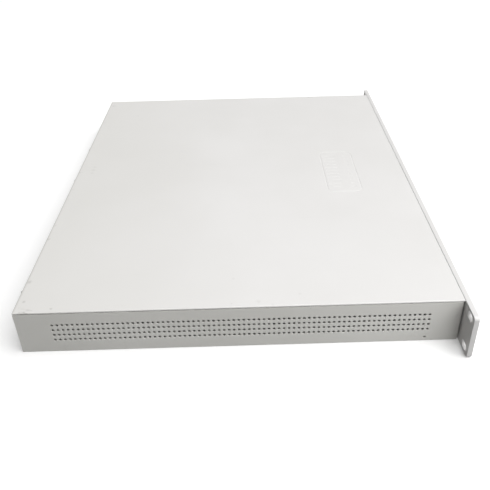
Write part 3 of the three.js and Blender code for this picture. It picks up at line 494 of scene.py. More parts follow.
def moulded(name, tint, roughness, grain=0.35, depth=0.02):
    """Moulded plastic with a fine spark-eroded grain."""
    f = Finish(name)
    lighter = tuple(min(1.0, channel * 1.5 + 0.004) for channel in tint)
    tone = f.clouds(6, tint, lighter, 3, 0.35, 0.7)
    return f.finish(tone, f.gloss(3, roughness, 0.06), f.noise(grain, 2), depth)


def clear_plastic(name, tint):
    """Milky clear plastic, as light pipes and lamp windows are moulded in."""
    f = Finish(name, roughness=0.18, Transmission_Weight=0.35, IOR=1.49)
    tone = f.clouds(1.2, tint, tuple(channel * 0.88 for channel in tint), 2, 0.3, 0.7)
    return f.finish(tone, f.gloss(0.8, 0.19, 0.05, 2), f.noise(0.4, 1), 0.003)


def circuit_board():
    """Green solder mask over copper tracks that run in two directions."""
    f = Finish("circuit_board", Coat_Weight=0.25, Coat_Roughness=0.2)
    inputs = {"Vector": f.place, "Scale": 1 / (2.6 * MM), "Randomness": 0.85}
    cells = f.node("ShaderNodeTexVoronoi", inputs, feature="DISTANCE_TO_EDGE").outputs["Distance"]
    tracks = f.ramp(cells, 0.05, 0.09, 1.0, 0.0)
    mask = f.clouds(14, (0.012, 0.075, 0.030), (0.016, 0.095, 0.038), 2)
    tone = f.mix(tracks, mask, (0.035, 0.16, 0.065))
    return f.finish(tone, f.gloss(2, 0.44, 0.06, 2), tracks, 0.03)


def wound_tape():
    """Yellow polyester tape, in wraps that overlap."""
    f = Finish("winding_tape", roughness=0.4)
    wraps = f.bands("Z", 60, 0.6)
    tone = f.mix(wraps, (0.55, 0.42, 0.10), (0.66, 0.52, 0.15))
    return f.finish(tone, f.gloss(4, 0.415, 0.065, 2), wraps, 0.05)


def woven_sleeve():
    """Black braided sleeve over the inner leads."""
    f = Finish("lead_sleeve", roughness=0.6)
    braid = f.bands("DIAGONAL", 420, 1.5)
    tone = f.mix(braid, (0.010, 0.010, 0.011), (0.035, 0.035, 0.037))
    return f.finish(tone, f.gloss(2, 0.60, 0.08, 2), braid, 0.08)


COVER_LOW, COVER_HIGH = box_of("top_cover")
SHEET = 1.2
PIN_HOLE = Sizes(from_front=29, z=3.9, radius=1.2)
COVER_SMUDGES = [  # place across and along the cover, radius, strength
    (-215.5, 155.0, 1.6, 0.40), (-206.0, 180.0, 1.8, 0.45), (-181.0, 183.0, 3.0, 0.35),
    (-118.0, 184.0, 2.4, 0.30), (-214.0, -15.0, 2.6, 0.16), (-215.5, 7.0, 1.4, 0.20),
    (-206.0, -50.0, 1.8, 0.12), (-184.0, 6.0, 1.8, 0.10), (168.0, 140.0, 3.0, 0.06),
    (205.0, 180.0, 5.0, 0.10), (10.0, 169.5, 2.4, 0.14), (17.0, 169.5, 2.8, 0.16),
    (24.0, 169.5, 2.4, 0.14),
]
SIDE_SMUDGE_AND_HOLE_SHADE = [
    ((COVER_LOW.x, -57.5, 39.7), 0.9, 0.35),
    # painted shade in the side's pin hole, darkening its shallow floor
    ((COVER_LOW.x + SHEET, COVER_LOW.y + PIN_HOLE.from_front, PIN_HOLE.z), 1.3, 0.8),
]
# The case coat and the cover coat are copies of one paint: the cover's tint is painted a little lighter, as lit
# from above, and the case's a little darker and yellower, as painted shade on the sides.
CASE_COAT = powder_coat("case_coat", (0.800, 0.795, 0.760), (0.770, 0.765, 0.728), 0.42,
                        SIDE_SMUDGE_AND_HOLE_SHADE)
COVER_COAT = worn_and_shaded_coat("cover_coat", (0.838, 0.829, 0.818), (0.816, 0.807, 0.793), 0.42,
                       (COVER_HIGH.x, COVER_HIGH.y),
                       [((x, y, COVER_HIGH.z), *rub) for x, y, *rub in COVER_SMUDGES])
PLATE_COAT = powder_coat("plate_coat", (0.800, 0.793, 0.784), (0.780, 0.773, 0.762), 0.36)
ZINC = spangled_zinc()
STEEL = metal("plain_steel", (0.40, 0.40, 0.39), (0.30, 0.30, 0.29), 0.30, size=0.25)
TINNED = metal("connector_shell", (0.70, 0.70, 0.68), (0.60, 0.60, 0.58), 0.30, (1, 0.08, 1))
ALUMINIUM = metal("plain_aluminium", (0.62, 0.63, 0.64), (0.54, 0.55, 0.56), 0.34, (1, 0.06, 1))
BRASS = metal("plain_brass", (0.60, 0.44, 0.17), (0.50, 0.36, 0.13), 0.30, size=0.3)
GOLD = metal("contact_gold", (0.78, 0.58, 0.22), (0.70, 0.50, 0.18), 0.22, (1, 0.1, 1), 0.3, cloud=4)
BLACK_PLASTIC = moulded("black_plastic", (0.016, 0.016, 0.017), 0.46)
FAN_PLASTIC = moulded("fan_plastic", (0.020, 0.021, 0.023), 0.52, 0.5, 0.03)
CHIP_PACKAGE = moulded("chip_package", (0.022, 0.022, 0.024), 0.60, 0.2, 0.03)
MARK_WHITE = moulded("mark_white", (0.62, 0.62, 0.61), 0.50, 0.3, 0.01)
CLEAR = clear_plastic("light_pipe_plastic", (0.78, 0.84, 0.78))
LAMP_GREEN = clear_plastic("green_lamp_window", (0.20, 0.46, 0.16))
LAMP_AMBER = clear_plastic("amber_lamp_window", (0.66, 0.38, 0.08))
BOARD_GREEN = circuit_board()
TAPE = wound_tape()
SLEEVE = woven_sleeve()

# -- Enclosure
COVER_FLANGE = 9
COVER_BEND = 0.9  # outer radius of the cover's long edges
BADGE = Sizes(width=92, depth=38, from_front=52, radius=8)
BADGE_GROOVE = [(0, 0), (0.15, -0.05), (0.4, -0.24), (0.8, -0.32), (1.2, -0.24), (1.45, -0.05),
                (1.6, 0)]
BADGE_BARS = Sizes(count=11, pitch=7, width=1.8, rows=[(8, 15), (-11, 5)])  # place and length
BAR_DENT = [(0, 0), (0.12, -0.05), (0.4, -0.22), (0.65, -0.26)]
VENTS = Sizes(columns=76, rows=4, column_pitch=4.17, row_pitch=5.37, radius=1.2, from_front=27.3, z=21.1)
SIDE_SHEET = 1.0
SIDE_GAPS = Sizes(front=1.0, top=0.6)  # shadow lines along the plate and the cover
GAP = 0.3
HOLES = Sizes(cover_screw=1.7, plate_screw=3.1, reset_button=2.15, earth_stud=2.3)  # radii
TAB_WIDTH = 14


def cover_section():
    """The cover across the case: a flat top with round edges, and flanges inside the side panels."""
    side, top = COVER_HIGH.x, COVER_HIGH.z
    under = top - SHEET
    flange_x = side - SHEET - GAP
    inner = flange_x - SHEET
    foot = top - COVER_FLANGE
    half = [(inner, under), (inner, foot), (flange_x, foot), (flange_x, under), (side, under)]
    half += arc(side - COVER_BEND, top - COVER_BEND, COVER_BEND, 0, TAU / 4, 6)
    return mirrored(half)


def pressed(solid, outline, profile):
    """Rings of a dent in the cover's top, from its rim inward."""
    rows = [
        [solid.verts.new((a, b, COVER_HIGH.z + height)) for a, b in grown(outline, -inset)]
        for inset, height in profile
    ]
    skin(solid, rows)
    return rows


def top_cover():
    """The cover as one skin. Plain bars in a pressed outline stand where a badge would be."""
    edge = 0.25
    section = cover_section()
    small = grown(section, -edge)
    y0, y1 = COVER_LOW.y, COVER_HIGH.y
    rows = [(y0, small), (y0 + edge, section), (y1 - edge, section), (y1, small)]
    solid = bmesh.new()
    verts = [[solid.verts.new((a, y, b)) for a, b in points] for y, points in rows]
    skin(solid, verts)
    fill_flat(solid, "y", [verts[0]])
    fill_flat(solid, "y", [verts[-1]])
    half = len(section) // 2
    corners = [verts[1][half - 1], verts[1][half], verts[2][half], verts[2][half - 1]]
    solid.faces.remove(solid.faces.get(corners))
    badge_y = y0 + BADGE.from_front + BADGE.depth / 2
    outline = pad(0, badge_y, BADGE.width, BADGE.depth, BADGE.radius, 12)
    groove = pressed(solid, outline, BADGE_GROOVE)
    fill_flat(solid, "z", [corners, groove[0]])
    rims = []
    for row_y, length in BADGE_BARS.rows:
        for x in spread(BADGE_BARS.count, BADGE_BARS.pitch):
            bar = pad(x, badge_y + row_y, BADGE_BARS.width, length, 0.85, 4)
            dent = pressed(solid, bar, BAR_DENT)
            rims.append(dent[0])
            solid.faces.new(dent[-1])
    fill_flat(solid, "z", [groove[-1], *rims])
    return solid


def cover_tab(x):
    """A tab behind the rear panel that takes a cover screw."""
    left, right = x - TAB_WIDTH / 2, x + TAB_WIDTH / 2
    rear = COVER_HIGH.y - SHEET - GAP
    hole = ring(x, middle_of("cover_screw_1").z, HOLES.cover_screw, 24)
    outline = rectangle(left, COVER_HIGH.z - COVER_FLANGE, right, COVER_HIGH.z - SHEET / 2)
    return layer(rear - SHEET, rear, outline, [hole], 0.15)


def side_panel(node):
    low, high = box_of(node)
    first = low.y + VENTS.from_front
    columns = [first + i * VENTS.column_pitch for i in range(VENTS.columns)]
    rows = spread(VENTS.rows, VENTS.row_pitch, VENTS.z)
    holes = [ring(y, z, VENTS.radius, 16) for y in columns for z in rows]
    holes.append(ring(low.y + PIN_HOLE.from_front, PIN_HOLE.z, PIN_HOLE.radius, 16))
    outline = rounded(low.y + SIDE_GAPS.front, low.z, high.y, high.z - SIDE_GAPS.top, 0.4, 2)
    x = low.x if low.x < 0 else high.x - SIDE_SHEET
    return sheet("x", x, x + SIDE_SHEET, outline, holes, 0.1, 1)


RACK_SLOT = (10.3, 6.8)
CUTOUT_MARGIN = 0.4
INTAKE = Sizes(x=163, z=21.8, width=3, height=24, pitch=7, count=9)
LIGHT = Sizes(radius=1.5, columns=[-192, -184], rows=[17.5, 27.5], backs=[-173.1, -168.1])
JACKS = ["console_jack", "management_jack", "network_jack_block_1", "network_jack_block_2"]
CAGES = [f"fibre_cage_{i}" for i in range(1, 5)]
CUTOUTS = [(node, node) for node in (*JACKS, "usb_ports")] + [(CAGES[0], CAGES[-1])]
PLATE_SCREWS = [f"plate_screw_{i}" for i in range(1, 5)]
COVER_SCREWS = [f"cover_screw_{i}" for i in range(1, 4)]


def hole_for(node, radius, sides=24):
    """A round hole in a panel, in line with a node's middle."""
    middle = middle_of(node)
    return ring(*middle.xz, radius, sides)


def front_plate():
    low, high = box_of("front_plate")
    holes = [oblong(m.x, m.z, *RACK_SLOT, 12) for m in openings_between(low, high, "rack_slot")]
    for first, last in CUTOUTS:
        holes.append(end_of(box_of(first)[0], box_of(last)[1], 0.5, inset=-CUTOUT_MARGIN))
    holes += [ring(x, z, LIGHT.radius + 0.15, 24) for x in LIGHT.columns for z in LIGHT.rows]
    holes.append(hole_for("reset_button", HOLES.reset_button))
    for x in spread(INTAKE.count, INTAKE.pitch, INTAKE.x):
        holes.append(oblong(x, INTAKE.z, INTAKE.width, INTAKE.height, 8))
    holes += [hole_for(node, HOLES.plate_screw, 32) for node in PLATE_SCREWS]
    return layer(low.y, high.y, end_of(low, high, 3, 8), holes, 0.35)


GRILLE_RADII = [(5.4, 8.4), (10.2, 13.2), (15, 17.6)]
GRILLE_ARCS = 4
GRILLE_RIB = 1.6
FANS = [(f"fan_frame_{i}", f"fan_rotor_{i}", f"rotor_{i}") for i in range(1, 4)]
FANS.append(("supply_fan_frame", "supply_fan_rotor", "supply_rotor"))
FAN_SCREW_SHARE = 0.4  # from a fan's middle to its screws, as a share of its side
FAN_SCREW_RADIUS = 1.7
REAR_BODIES = {"power_inlet": (27, 20), "rocker_bezel": (12.6, 20)}  # their size through the panel
BODY_GAP = 0.6
REAR_FACE = box_of("rear_panel")[1].y


def grille(x, z):
    """The openings of a fan guard, in three rings between four ribs."""
    openings = []
    for radii in GRILLE_RADII:
        for i in range(GRILLE_ARCS):
            start, end = i * TAU / GRILLE_ARCS, (i + 1) * TAU / GRILLE_ARCS
            inner, outer = [
                arc(x, z, radius, start + GRILLE_RIB / 2 / radius, end - GRILLE_RIB / 2 / radius, 20)
                for radius in radii
            ]
            openings.append(outer + inner[::-1])
    return openings


def side_of(frame_node):
    low, high = box_of(frame_node)
    return high.x - low.x


def fan_screw_places(frame_node):
    middle = middle_of(frame_node)
    reach = side_of(frame_node) * FAN_SCREW_SHARE
    return [(middle.x + dx * reach, middle.z + dz * reach) for dx in (-1, 1) for dz in (-1, 1)]


def rear_outline(high, low):
    """Full width between the flanges of the pan and the cover, and narrower where they pass it."""
    narrow = high.x - SHEET - GAP
    lower, upper = COVER_FLANGE + GAP, COVER_HIGH.z - COVER_FLANGE - GAP
    half = [(narrow, low.z), (narrow, lower), (high.x, lower), (high.x, upper), (narrow, upper)]
    return mirrored([*half, (narrow, high.z)])


def rear_panel():
    low, high = box_of("rear_panel")
    holes = []
    for frame_node, _, _ in FANS:
        middle = middle_of(frame_node)
        holes += grille(*middle.xz)
        holes += [ring(x, z, FAN_SCREW_RADIUS + 0.2, 20) for x, z in fan_screw_places(frame_node)]
    for node, (width, height) in REAR_BODIES.items():
        middle = middle_of(node)
        holes.append(pad(*middle.xz, width + BODY_GAP, height + BODY_GAP, 0.6))
    holes.append(hole_for("earth_stud", HOLES.earth_stud))
    holes += [hole_for(node, HOLES.cover_screw) for node in COVER_SCREWS]
    return layer(low.y, high.y, rear_outline(high, low), holes, 0.15)


# -- Screws
def hexagon(apothem):
    """A hexagon's radius at an angle."""
    return lambda angle: apothem / math.cos((angle + TAU / 12) % (TAU / 6) - TAU / 12)


def cross(length, width):
    """The radius at an angle of a cross of two bars, as a driver's recess has."""
    def radius(angle):
        c, s = abs(math.cos(angle)) + 1e-6, abs(math.sin(angle)) + 1e-6
        return max(min(length / c, width / s), min(width / c, length / s))
    return radius


def thread(y0, y1, radius, pitch=0.7):
    """Ridges from y0 to y1, which is on the point's side."""
    turns = max(1, round(abs(y1 - y0) / pitch))
    step = (y1 - y0) / turns
    profile = []
    for i in range(turns):
        profile += [(y0 + i * step, radius * 0.84), (y0 + (i + 0.5) * step, radius)]
    return profile + [(y1, radius * 0.6)]


def plate_screw(node):
    """Countersunk, with a hexagon socket."""
    low, high, middle = extent_of(node)
    front, head = low.y, (high.x - low.x) / 2
    profile = [
        (front + 1.5, hexagon(1.0)), (front + 0.15, hexagon(1.05)), (front, hexagon(1.2)),
        (front, head - 0.25), (front + 0.08, head - 0.08), (front + 0.25, head), (front + 0.45, head),
        (front + 1.7, 1.5), *thread(front + 2.0, high.y, 1.5),
    ]
    return turned(*middle.xz, profile, 48)


def pan_screw(x, z, seat, tip, head, height, shank):
    """A pan head with a cross recess, facing the rear."""
    top = seat + height
    profile = [
        (top - height * 0.62, cross(head * 0.34, head * 0.09)),
        (top - 0.06, cross(head * 0.60, head * 0.15)), (top, cross(head * 0.64, head * 0.18)),
        (top, head * 0.70), (top - height * 0.06, head * 0.80), (top - height * 0.20, head * 0.91),
        (top - height * 0.45, head * 0.985), (top - height * 0.60, head), (seat, head), (seat, shank),
        *thread(seat - 0.3, tip, shank),
    ]
    return turned(x, z, profile, 64)


def cover_screw(node):
    low, high, middle = extent_of(node)
    return pan_screw(*middle.xz, high.y - 1.8, low.y, (high.x - low.x) / 2, 1.8, 1.4)


tabs = [cover_tab(middle_of(node).x) for node in COVER_SCREWS]
piece("top_cover_shell", [top_cover(), *tabs], COVER_COAT, node="top_cover")
for side in ("left", "right"):
    panel = f"{side}_side_panel"
    piece(f"{side}_vented_side", [side_panel(panel)], CASE_COAT, node=panel)
piece("front_face_plate", [front_plate()], PLATE_COAT, node="front_plate")
piece("rear_grille_panel", [rear_panel()], CASE_COAT, node="rear_panel")
for node in PLATE_SCREWS:
    piece(node.replace("plate", "countersunk"), [plate_screw(node)], STEEL, node=node)
for node in COVER_SCREWS:
    piece(node.replace("cover", "lid"), [cover_screw(node)], STEEL, node=node)

# -- Front connectors
BOARD_TOP_Z = box_of("console_jack")[0].z
JACK_CAVITY = Sizes(width=11.8, height=6.8, depth=15, floor=4.4)
JACK_LATCH = [(6.2, 1.4), (3.4, 2.8)]  # width and drop below the cavity's floor
CONTACTS = Sizes(count=8, pitch=1.02, width=0.42, thickness=0.22)
CONTACT_SLOPE = [(2.2, 0.25), (3.4, 0.9), (7, 2.6), (11, 3.6), (14.8, 3.8)]  # back and down
LAMP = Sizes(aside=4.6, below_roof=1.15, window=(2.9, 1.1), block=(2.8, 1), depth=3)
SHELL = 0.35


def jack_cavity(x):
    floor = BOARD_TOP_Z + JACK_CAVITY.floor
    side = [(JACK_CAVITY.width / 2, floor + JACK_CAVITY.height), (JACK_CAVITY.width / 2, floor)]
    level = floor
    for width, drop in JACK_LATCH:
        side += [(width / 2, level), (width / 2, floor - drop)]
        level = floor - drop
    return [(x + a, b) for a, b in mirrored(side[::-1])]


def metal_can(low, high, mouths):
    """A folded shield: a front with mouths in it, four walls and a back."""
    outline, inside = end_of(low, high, 0.5), end_of(low, high, 0.3, inset=SHELL)
    return [
        layer(low.y, low.y + SHELL, outline, mouths, 0.1),
        layer(low.y + SHELL, high.y, outline, [inside], 0.05),
        layer(high.y - SHELL, high.y, grown(inside, 0.1), (), 0.05),
    ]


def hollow_shell(low, high, radius, mouths, back):
    """A block that's open at its front through its mouths, as far as its back."""
    outline = end_of(low, high, radius)
    return [
        layer(low.y, high.y - back, outline, mouths, 0.15),
        layer(high.y - back, high.y, outline, (), 0.1),
    ]


def spring(x, y, z, bulge, width, thickness, up=0, right=0):
    """A tongue that runs back along Y and bulges out of a wall. Its profile is (distance, rise)."""
    path = [(x + right * rise, y + back, z + up * rise) for back, rise in bulge]
    return ribbon(path, width, thickness, (abs(up), 0, abs(right)))


def shield_springs(low, high):
    """Small tongues pressed out of the shield's roof, where it meets the plate."""
    count = max(2, round((high.x - low.x) / 7))
    pitch = (high.x - low.x) / count
    bulge = [(0.4, 0), (1.6, 0.28), (3.4, 0.05)]
    return [
        spring(low.x + (i + 0.5) * pitch, low.y, high.z, bulge, 2.2, 0.15, up=1) for i in range(count)
    ]


def jack_contacts(low, ports):
    """Eight sprung wires in each port, which slope down from its roof."""
    roof = BOARD_TOP_Z + JACK_CAVITY.floor + JACK_CAVITY.height
    width, thickness = CONTACTS.width, CONTACTS.thickness
    return [
        spring(x, low.y, roof, CONTACT_SLOPE, width, thickness, up=-1)
        for port in ports
        for x in spread(CONTACTS.count, CONTACTS.pitch, port)
    ]


def lamp_blocks(front, middle_z, middles):
    """The clear blocks behind the lamp windows."""
    half_width, half_height = LAMP.block[0] / 2, LAMP.block[1] / 2
    return [
        brick(x - half_width, x + half_width, front, front + LAMP.depth,
              middle_z - half_height, middle_z + half_height, 0.15)
        for x in middles
    ]


def jack(node):
    """A shielded modular jack: its can, its black insert, its contacts and its two lamp windows."""
    low, high = box_of(node)
    ports = [m.x for m in openings_between(low, high, "socket")]
    cavities = [jack_cavity(x) for x in ports]
    lamp_z = high.z - LAMP.below_roof
    lamps = {side: [x + side * LAMP.aside for x in ports] for side in (-1, 1)}
    windows = [pad(x, lamp_z, *LAMP.window, 0.25) for x in (*lamps[-1], *lamps[1])]
    can = metal_can(low, high, [*cavities, *windows]) + shield_springs(low, high)
    back = low.y + JACK_CAVITY.depth
    body = rectangle(low.x + SHELL, low.z + SHELL, high.x - SHELL, high.z - SHELL)
    insert = [
        layer(low.y + SHELL + 0.02, back, body, [grown(c, -0.1) for c in cavities], 0.05),
        layer(back, high.y - SHELL, body, (), 0.05),
    ]
    piece(f"{node}_can", can, TINNED, node=node)
    piece(f"{node}_insert", insert, BLACK_PLASTIC)
    piece(f"{node}_contacts", jack_contacts(low, ports), GOLD)
    for side, glass, word in ((-1, LAMP_GREEN, "link"), (1, LAMP_AMBER, "activity")):
        blocks = lamp_blocks(low.y + 0.02, lamp_z, lamps[side])
        piece(f"{node}_{word}_windows", blocks, glass)


USB_WALL = 0.8
USB_TONGUE = Sizes(width=11.2, height=1.9, set=2, rise=1)
USB_BULGE = [(2.5, 0.1), (6, 0.55), (8, 0.75), (9.5, 0.4)]  # back and out
USB_CONTACT = [(3, 0), (8, 0), (13, 0)]


def usb_ports():
    low, high, middle = extent_of("usb_ports")
    cavity = (high.z - low.z - 3 * USB_WALL) / 2
    levels = spread(2, cavity + USB_WALL, middle.z)
    width = high.x - low.x - 2 * USB_WALL
    mouths = [pad(middle.x, z, width, cavity, 0.35) for z in levels]
    shell = hollow_shell(low, high, 0.6, mouths, 2)
    for z in levels:  # springs in the floor and the roof of each mouth
        for x in spread(2, 6.4, middle.x):
            for up in (1, -1):
                shell.append(spring(x, low.y, z - up * cavity / 2, USB_BULGE, 1.8, 0.2, up=up))
    piece("usb_shells", shell, TINNED, node="usb_ports")
    tongues, contacts = [], []
    for z in levels:
        low_z = z + USB_TONGUE.rise - USB_TONGUE.height / 2
        half = USB_TONGUE.width / 2
        tongues.append(brick(middle.x - half, middle.x + half, low.y + USB_TONGUE.set, high.y - 1,
                             low_z, low_z + USB_TONGUE.height, 0.25))
        for dx in (-3.5, -1.0, 1.0, 3.5):
            contacts.append(spring(middle.x + dx, low.y, low_z - 0.05, USB_CONTACT, 1.0, 0.15, up=1))
    piece("usb_tongues", tongues, BLACK_PLASTIC)
    piece("usb_contacts", contacts, GOLD)


CAGE_WALL = 0.7
CAGE_BULGE = [(0.3, 0.0), (1.4, 0.22), (2.6, 0.28), (4.4, 0.0)]


def fibre_cage(node):
    """A cage with spring fingers round its mouth and the socket at its far end."""
    low, high, middle = extent_of(node)
    can = hollow_shell(low, high, 0.5, [end_of(low, high, 0.3, inset=CAGE_WALL)], CAGE_WALL)
    for x in spread(4, 3.2, middle.x):
        for z, up in ((low.z, -1), (high.z, 1)):
            can.append(spring(x, low.y, z, CAGE_BULGE, 2.1, 0.14, up=up))
    for z in spread(2, 4.8, middle.z):
        for x, right in ((low.x, -1), (high.x, 1)):
            can.append(spring(x, low.y, z, CAGE_BULGE, 2.6, 0.14, right=right))
    piece(f"{node}_can", can, TINNED, node=node)
    far = high.y - CAGE_WALL
    socket = brick(middle.x - 5.6, middle.x + 5.6, far - 2.4, far, low.z + 1, low.z + 6.4, 0.3)
    piece(f"{node}_socket", [socket], BLACK_PLASTIC)


def light_pipes():
    """Round lenses in the plate, whose pipes turn down to the lamps on the board."""
    face = box_of("light_pipes")[0].y
    r = LIGHT.radius
    dome = [(face, 0.3), (face + 0.05, 0.75), (face + 0.2, 1.2), (face + 0.5, r)]
    parts = []
    for x in LIGHT.columns:
        for z, back in zip(LIGHT.rows, LIGHT.backs):
            parts.append(turned(x, z, [*dome, (back, r)]))
            parts.append(brick(x - r, x + r, back - r, back + r, BOARD_TOP_Z, z + r, 0.4, 3))
    left, right = LIGHT.columns[0] - r, LIGHT.columns[1] + r
    parts.append(brick(left, right, *LIGHT.backs, BOARD_TOP_Z + 1, BOARD_TOP_Z + 3, 0.3))
    piece("indicator_light_pipes", parts, CLEAR, node="light_pipes")


RESET = Sizes(radius=1.9, collar=(-182.6, -181.1))


def reset_button():
    """A domed button on a collar that rests against the plate's back."""
    low, high, middle = extent_of("reset_button")
    r, wide = RESET.radius, (high.x - low.x) / 2
    y0, y1 = RESET.collar
    profile = [
        (low.y + 0.25, 0.3), (low.y + 0.2, 0.9), (low.y + 0.05, 1.45), (low.y, 1.6), (low.y + 0.1, 1.8),
        (low.y + 0.35, r), (y0, r), (y0, wide - 0.15), (y0 + 0.15, wide), (y1 - 0.15, wide),
        (y1, wide - 0.15), (y1, r), (high.y - 0.3, r), (high.y, r - 0.3),
    ]
    button = turned(*middle.xz, profile)
    piece("reset_push_button", [button], BLACK_PLASTIC, "button", "reset_button")


for node in JACKS:
    jack(node)
usb_ports()
for node in CAGES:
    fibre_cage(node)
light_pipes()
reset_button()

# -- Fans
BLADES = 5
BLADE_TWIST = math.radians(58)  # how far round the axis a blade reaches, at the hub
BLADE_CAMBER = 0.12
BLADE_SWEEP = 0.25
BLADE_THICKNESS = 1.1
STRUT_LEAN = 0.35
HUB_SHARE, TIP_SHARE, BORE_SHARE = 0.25, 0.455, 0.472  # radii as shares of a fan's side


def fan_strut(middle, y, start, inner, outer):
    """A flat strut from the motor's seat to the duct."""
    path = []
    for step in range(7):
        share = step / 6
        radius, angle = inner + (outer - inner) * share, start + STRUT_LEAN * share
        x, z = polar(*middle.xz, radius, angle)
        path.append((x, y, z))
    return ribbon(path, 2.6, 1.8, (0, 1, 0))


def fan_frame(node):
    """Two square flanges on a round duct, with the motor's seat held by four struts at the rear."""
    low, high, middle = extent_of(node)
    side = side_of(node)
    bore, hub, flange = side * BORE_SHARE, side * HUB_SHARE, 4.0
    square = end_of(low, high, side * 0.07, 6)
    screws = [ring(x, z, FAN_SCREW_RADIUS + 0.3, 20) for x, z in fan_screw_places(node)]
    duct = ring(*middle.xz, bore, 64)
    waist = ring(*middle.xz, bore + 1.1, 64)
    strut_y = high.y - 3
    seat = [
        (strut_y, hub - 0.4), (strut_y + 0.3, hub), (high.y - 0.8, hub), (high.y - 0.3, hub - 0.5),
        (high.y - 0.2, hub - 2), (high.y - 0.5, hub - 2.3), (high.y - 0.5, 0.5),
    ]
    parts = [
        layer(low.y, low.y + flange, square, [duct, *screws], 0.35),
        layer(high.y - flange, high.y, square, [duct, *screws], 0.35),
        layer(low.y + flange - 0.5, high.y - flange + 0.5, waist, [duct], 0.1),
        turned(*middle.xz, seat, 48),
    ]
    for i in range(4):
        start = i * TAU / 4 + TAU / 8
        parts.append(fan_strut(middle, strut_y + 1.5, start, hub - 0.5, bore + 0.1))
    return parts


def blade(x, z, start, y0, y1, inner, outer):
    """A curved blade: each section runs round the axis as it runs along it, less so further out."""
    sections, stations = 6, 7
    rings = []
    for i in range(sections + 1):
        radius = inner + (outer - inner) * i / sections
        reach = BLADE_TWIST * (inner / radius) ** 0.35
        lower, upper = [], []
        for j in range(stations + 1):
            share = j / stations
            camber = BLADE_CAMBER * math.sin(math.pi * share)
            angle = start + reach * (share - 0.5) + camber + BLADE_SWEEP * i / sections
            half = BLADE_THICKNESS / 2 * math.sin(math.pi * (0.08 + 0.84 * share)) ** 0.5
            y = y0 + (y1 - y0) * share
            for line, sign in ((lower, -1), (upper, 1)):
                across, up = polar(x, z, radius, angle + sign * half / radius)
                line.append((across, y, up))
        rings.append(lower + upper[::-1])
    return loft(rings)


def fan_rotor(node, frame_node):
    low, high, middle = extent_of(node)
    side = side_of(frame_node)
    hub, tip = side * HUB_SHARE, side * TIP_SHARE
    profile = [
        (low.y + 0.2, 0.5), (low.y + 0.1, hub - 3), (low.y, hub - 1.6), (low.y + 0.4, hub - 0.6),
        (low.y + 1.4, hub), (high.y, hub),
    ]
    blades = [
        blade(*middle.xz, i * TAU / BLADES, low.y + 1.2, high.y - 0.6, hub - 0.4, tip)
        for i in range(BLADES)
    ]
    return [turned(*middle.xz, profile, 64), *blades]


for frame_node, rotor_node, body in FANS:
    rotor = fan_rotor(rotor_node, frame_node)
    piece(f"{frame_node}_duct", fan_frame(frame_node), FAN_PLASTIC, node=frame_node)
    piece(f"{rotor_node}_impeller", rotor, FAN_PLASTIC, body, rotor_node)
    screws = [
        pan_screw(x, z, REAR_FACE + 0.02, REAR_FACE - 10, 2.6, 1.7, FAN_SCREW_RADIUS)
        for x, z in fan_screw_places(frame_node)
    ]
    piece(f"{frame_node}_screws", screws, STEEL)

# -- Power entry
INLET = Sizes(cavity=(24, 16.4), chamfer=4.5, depth=17, flange=2.7)
INLET_PINS = Sizes(width=2, height=4, length=12, places=[(-7, -2), (0, 2), (7, -2)])


def inlet_outline(x, z, size):
    """A rectangle whose two upper corners are cut off."""
    w, h, c = size[0] / 2, size[1] / 2, INLET.chamfer
    points = [(-w, -h), (w, -h), (w, h - c), (w - c, h), (c - w, h), (-w, h - c)]
    return [(x + a, z + b) for a, b in points]


def power_inlet():
    low, high, middle = extent_of("power_inlet")
    floor = high.y - INLET.depth
    cavity = inlet_outline(*middle.xz, INLET.cavity)
    body = inlet_outline(*middle.xz, REAR_BODIES["power_inlet"])
    parts = [
        layer(high.y - INLET.flange, high.y, end_of(low, high, 2, 6), [cavity], 0.4),
        layer(floor - 0.5, high.y - INLET.flange + 0.3, body, [cavity], 0.1),
        layer(low.y, floor, body, (), 0.3),
    ]
    piece("inlet_housing", parts, BLACK_PLASTIC, node="power_inlet")
    pins = []
    for dx, dz in INLET_PINS.places:
        x, z = middle.x + dx, middle.z + dz
        w, h = INLET_PINS.width / 2, INLET_PINS.height / 2
        pins.append(brick(x - w, x + w, floor - 1, floor + INLET_PINS.length, z - h, z + h, 0.45, 3))
    piece("inlet_pins", pins, STEEL)


ROCKER = Sizes(width=9.6, radius=9, half_angle=62, tilt=10, valley=2.9, pin=1.2)


def rocker_bezel():
    low, high, middle = extent_of("rocker_bezel")
    mouth = pad(*middle.xz, ROCKER.width + 0.6, 2 * ROCKER.radius + 0.6, 0.3)
    body = pad(*middle.xz, *REAR_BODIES["rocker_bezel"], 0.4)
    parts = [
        layer(high.y - 1.3, high.y, end_of(low, high, 1.2, 5), [mouth], 0.35),
        layer(low.y + 2, high.y - 1.2, body, [mouth], 0.1),
        layer(low.y, low.y + 2, body, (), 0.1),
    ]
    piece("rocker_frame", parts, BLACK_PLASTIC, node="rocker_bezel")


def rocker_sign(pivot, valley, tip, sign):
    """A bar on the pad above the valley, and a ring on the one below."""
    if sign > 0:
        mark = sheet("z", -0.15, 0.06, pad(0, 0, 0.5, 3.0, 0.2, 2), (), 0.03)
    else:
        mark = sheet("z", -0.15, 0.06, ring(0, 0, 1.6), [ring(0, 0, 1.1)], 0.03)
    along = (tip - valley).normalized()
    out = Vector((along.y, -along.x)) * sign
    centre = valley + (tip - valley) * 0.55
    mark.transform(Matrix((
        (1, 0, 0, pivot.x),
        (0, along.x, out.x, centre.x),
        (0, along.y, out.y, centre.y),
        (0, 0, 0, 1),
    )))
    return mark


